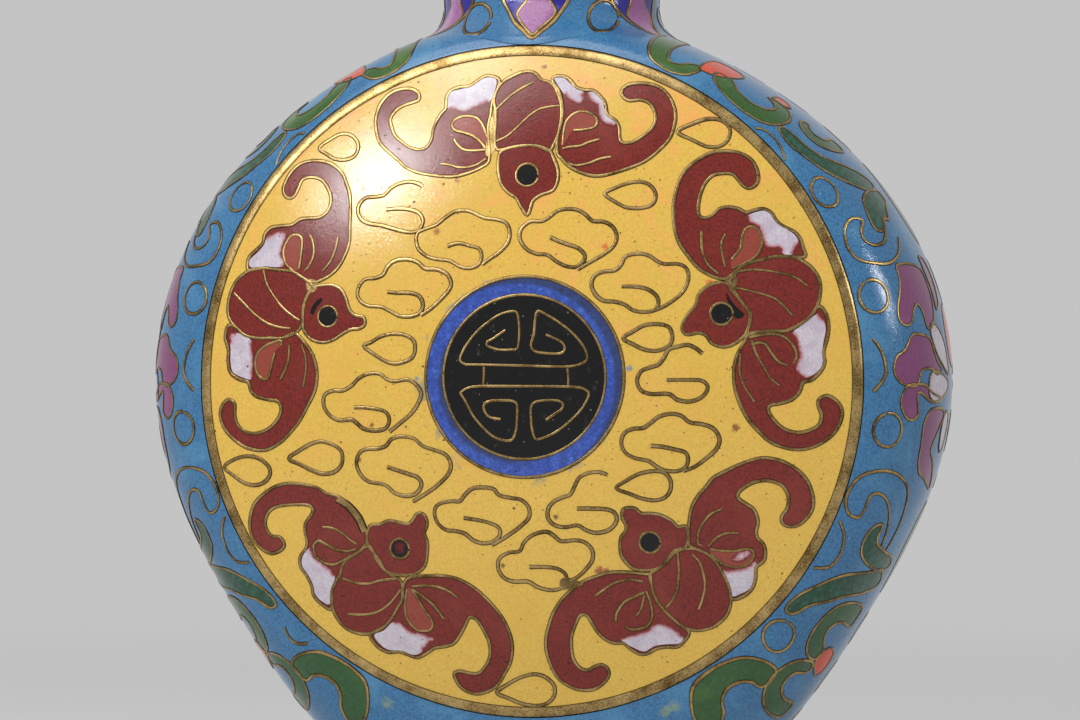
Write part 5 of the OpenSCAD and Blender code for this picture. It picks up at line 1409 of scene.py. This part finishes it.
neck_mauve.make("neck_lappets_enamelled", "mauve", "neck_lappets")
neck_blue.make("neck_cobalt_enamelled", "deep_blue", "neck_cobalt")
neck_wires.make("neck_wires_drawn", "gilt", "neck_wires")

# %% [markdown]
# The mouth's rim and the foot's ring are thick metal, turned and polished, so they are outlines
# swung round the axis. A sharp corner never catches the light, so each corner is rounded a little
# first. The foot is an oval: its depth is a share of its width.


# %% Turned pieces
def turned(profile, oval=1.0, count=180):
    around = np.linspace(0, 2 * np.pi, count, endpoint=False)
    r, z = (column[:, None] for column in np.asarray(profile, float).T)
    table = np.stack([r * np.cos(around), oval * r * np.sin(around), z + 0 * around], -1)
    piece = Piece()
    piece.grid(table, around=True, along=True)
    return piece


def softened(profile, radius, steps=4):
    """Rounds each corner of a closed outline."""
    p = np.asarray(profile, float)
    out = []
    for before, corner, after in zip(np.roll(p, 1, 0), p, np.roll(p, -1, 0)):
        to_before, to_after = before - corner, after - corner
        cut_a = min(radius, np.linalg.norm(to_before) * 0.45)
        cut_b = min(radius, np.linalg.norm(to_after) * 0.45)
        a = corner + to_before / np.linalg.norm(to_before) * cut_a
        b = corner + to_after / np.linalg.norm(to_after) * cut_b
        for t in np.linspace(0, 1, steps):
            out.append((1 - t) ** 2 * a + 2 * t * (1 - t) * corner + t**2 * b)
    return np.array(out)


# %% Mouth
LIP_WALL, LIP_EDGE = 2.2, 0.7
lip_in = mouth_r - LIP - LIP_WALL
mouth_outline = [
    (lip_in, mouth_z), (mouth_r - 0.3, mouth_z), (mouth_r, mouth_z + LIP_EDGE),
    (mouth_r, vase_h - LIP_EDGE), (mouth_r - LIP_EDGE, vase_h), (lip_in + LIP_EDGE, vase_h),
    (lip_in, vase_h - LIP_EDGE),
]
mouth = turned(softened(mouth_outline, 0.5))
mouth.make("mouth_rim_polished", "rim", "mouth_rim")

# %% Foot: the metal ring, and the band of turquoise above it
ANKLE_REACH, ENAMEL, FOOT_BAND_H = 17.4, 0.8, 2.0
FOOT_WALL, FOOT_EDGE, RECESS_H = 2.6, 0.4, 3
foot_oval = foot_hi.y / foot_hi.x
ring_outline = [
    (ANKLE_REACH - 3, RECESS_H), (ANKLE_REACH - 3, foot_z), (ANKLE_REACH, foot_z),
    (ANKLE_REACH, foot_z - ENAMEL), (foot_reach - ENAMEL, FOOT_BAND_H), (foot_reach, FOOT_BAND_H),
    (foot_reach, FOOT_EDGE), (foot_reach - FOOT_EDGE, 0), (foot_reach - FOOT_WALL + FOOT_EDGE, 0),
    (foot_reach - FOOT_WALL, FOOT_EDGE), (foot_reach - FOOT_WALL, RECESS_H),
]
foot_ring = turned(softened(ring_outline, 0.25), foot_oval)
foot_ring.make("foot_ring_polished", "rim", "foot_ring")
skin_outline = [
    (ANKLE_REACH + FIT_GAP, foot_z - ENAMEL), (ANKLE_REACH + FIT_GAP, foot_z),
    (ANKLE_REACH + ENAMEL, foot_z), (foot_reach, FOOT_BAND_H + FIT_GAP),
    (foot_reach - ENAMEL + FIT_GAP, FOOT_BAND_H + FIT_GAP),
]
foot_skin = turned(softened(skin_outline, 0.2), foot_oval)
foot_skin.make("foot_ground_enamelled", "turquoise", "foot_ground")

# %% [markdown]
# The copper under the glass, and the counter enamel inside that keeps it from warping, are hardly
# seen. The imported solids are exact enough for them, so they stay, and only take a look.

# %% The solids that stay: copper walls and counter enamel
STAYING = {
    "copper": ("front_plate", "back_plate", "side_wall", "neck_tube", "base_plate"),
    "turquoise": ("neck_lining", "base_lining"),
}
for look, names in STAYING.items():
    for name in names:
        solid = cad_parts[name]
        solid.data.materials.clear()
        solid.data.materials.append(LOOKS[look])
    print(look, "on", ", ".join(names))

# %% [markdown]
# ## Studio
#
# A vase of glass and gold shows what stands round it, so the studio is part of the look. The camera
# stands level with the medallion and a little to its right, close enough that the mouth and the
# foot lie outside the view. A long lens keeps the medallion round.

# %% Camera
CAMERA_TURN = math.radians(9.8)
CAMERA_FAR, CAMERA_SHIFT, CAMERA_RISE = 420.0, -1.3, 2.3
CAMERA_LENS = 124.8
right = Vector((math.cos(CAMERA_TURN), math.sin(CAMERA_TURN), 0))
ahead = Vector((-math.sin(CAMERA_TURN), math.cos(CAMERA_TURN), 0))
up = Vector((0, 0, medallion_z + CAMERA_RISE))
camera = bpy.data.objects.new("camera", bpy.data.cameras.new("camera"))
camera.data.lens = CAMERA_LENS
camera.location = (-ahead * CAMERA_FAR + right * CAMERA_SHIFT + up) * MM
camera.rotation_euler = ahead.to_track_quat("-Z", "Y").to_euler()
bpy.context.scene.collection.objects.link(camera)
bpy.context.scene.camera = camera
print("camera at", [round(v, 3) for v in camera.location])

# %% [markdown]
# The sky lights the vase softly from all sides. The camera and the gloss see it a little brighter
# than the light that it gives, so the studio is pale and the colours aren't washed out.

# %% Sky
SKY_LIGHT, SKY_SEEN = 0.42, 0.55
WHITE = (1, 1, 1, 1)


def seen_directly(nodes):
    """1 for rays from the camera and for mirrored or refracted ones, 0 for diffuse light."""
    rays = nodes.add("ShaderNodeLightPath")
    return rays["Is Camera Ray"].at_least(rays["Is Glossy Ray"]).at_least(rays["Is Transmission Ray"])


bpy.context.scene.view_settings.view_transform = "Standard"
world = bpy.data.worlds.new("sky")
bpy.context.scene.world = world
world.use_nodes = True
sky = Nodes(world.node_tree)
strength = seen_directly(sky) * (SKY_SEEN - SKY_LIGHT) + SKY_LIGHT
background = sky.add("ShaderNodeBackground", {}, {"Color": WHITE, "Strength": strength})["Background"]
sky.add("ShaderNodeOutputWorld", {}, {"Surface": background})
print("sky:", len(sky.tree.nodes), "nodes")

# %% [markdown]
# The floor takes the vase's shadow near by, and fades into the sky's own shade farther out, so no
# horizon line runs behind the vase. A curved paper backdrop would do that too, but would bend the
# shadow.

# %% Floor
FLOOR_R, FLOOR_SIDES = 4, 64
FADE_FROM, FADE_TO = 90, 420
floor_mesh = bpy.data.meshes.new("floor")
floor_turns = np.linspace(0, 2 * np.pi, FLOOR_SIDES, endpoint=False)
floor_edge = [(FLOOR_R * math.cos(t), FLOOR_R * math.sin(t), 0) for t in floor_turns]
floor_mesh.from_pydata(floor_edge, [], [list(range(FLOOR_SIDES))])
floor = bpy.data.objects.new("floor", floor_mesh)
bpy.context.scene.collection.objects.link(floor)
paint = Look("pale_floor")
pale = paint.mix(paint.noise(60.0, 3.0), (0.66, 0.66, 0.655, 1.0), (0.63, 0.63, 0.63, 1.0))
matt = paint.add("ShaderNodeBsdfDiffuse", {}, {"Color": pale})["BSDF"]
glow = paint.add("ShaderNodeEmission", {}, {"Color": WHITE, "Strength": SKY_SEEN})["Emission"]
far = paint.vector("DISTANCE", paint.place, {1: (0, 0, 0)}).smooth(FADE_FROM, FADE_TO)
share = far * seen_directly(paint)
fade = paint.add("ShaderNodeMixShader", {}, {0: share, 1: matt, 2: glow})["Shader"]
paint.add("ShaderNodeOutputMaterial", {}, {"Surface": fade})
floor_mesh.materials.append(paint.material)
print("floor:", 2 * FLOOR_R, "m wide")

# %% [markdown]
# Four lamps, each for one reason. The key is narrow and stands high on the left: its reflection is
# the streak on the yellow dome. The glint above it brightens the gilt beside that streak, the large
# top lamp gives soft shade under the swell of the side, and the small fill on the right picks out
# the turquoise edge. A single large lamp would light as well, but would lay one dull sheen on the
# dome. Each lamp is given by its direction and distance from the medallion's middle.

# %% Lamps: turn and rise in degrees, distance and size in metres, power in watts
LAMPS = {
    "key": dict(turn=-32.6, rise=26, far=0.7, width=0.15, height=0.035, roll=52, watts=1.5),
    "glint": dict(turn=-23, rise=41, far=0.7, width=0.12, height=0.14, roll=0, watts=0.5),
    "top": dict(turn=-22, rise=60, far=0.7, width=0.55, height=0.5, roll=0, watts=2.5),
    "fill": dict(turn=75, rise=17.5, far=0.6, width=0.03, height=0.08, roll=0, watts=0.55),
}


def lamp(name, turn, rise, far, width, height, roll, watts):
    a, e = math.radians(turn), math.radians(rise)
    toward = Vector((math.sin(a) * math.cos(e), -math.cos(a) * math.cos(e), math.sin(e)))
    light = bpy.data.lights.new(name, "AREA")
    light.shape = "RECTANGLE"
    light.size, light.size_y, light.energy = width, height, watts
    holder = bpy.data.objects.new(name, light)
    holder.location = toward * far + Vector((0, 0, medallion_z * MM))
    level = (-toward).to_track_quat("-Z", "Y")
    holder.rotation_euler = (level @ Quaternion((0, 0, 1), math.radians(roll))).to_euler()
    bpy.context.scene.collection.objects.link(holder)
    print(name, "lamp at", [round(v, 2) for v in holder.location])


for name, settings in LAMPS.items():
    lamp(name, **settings)
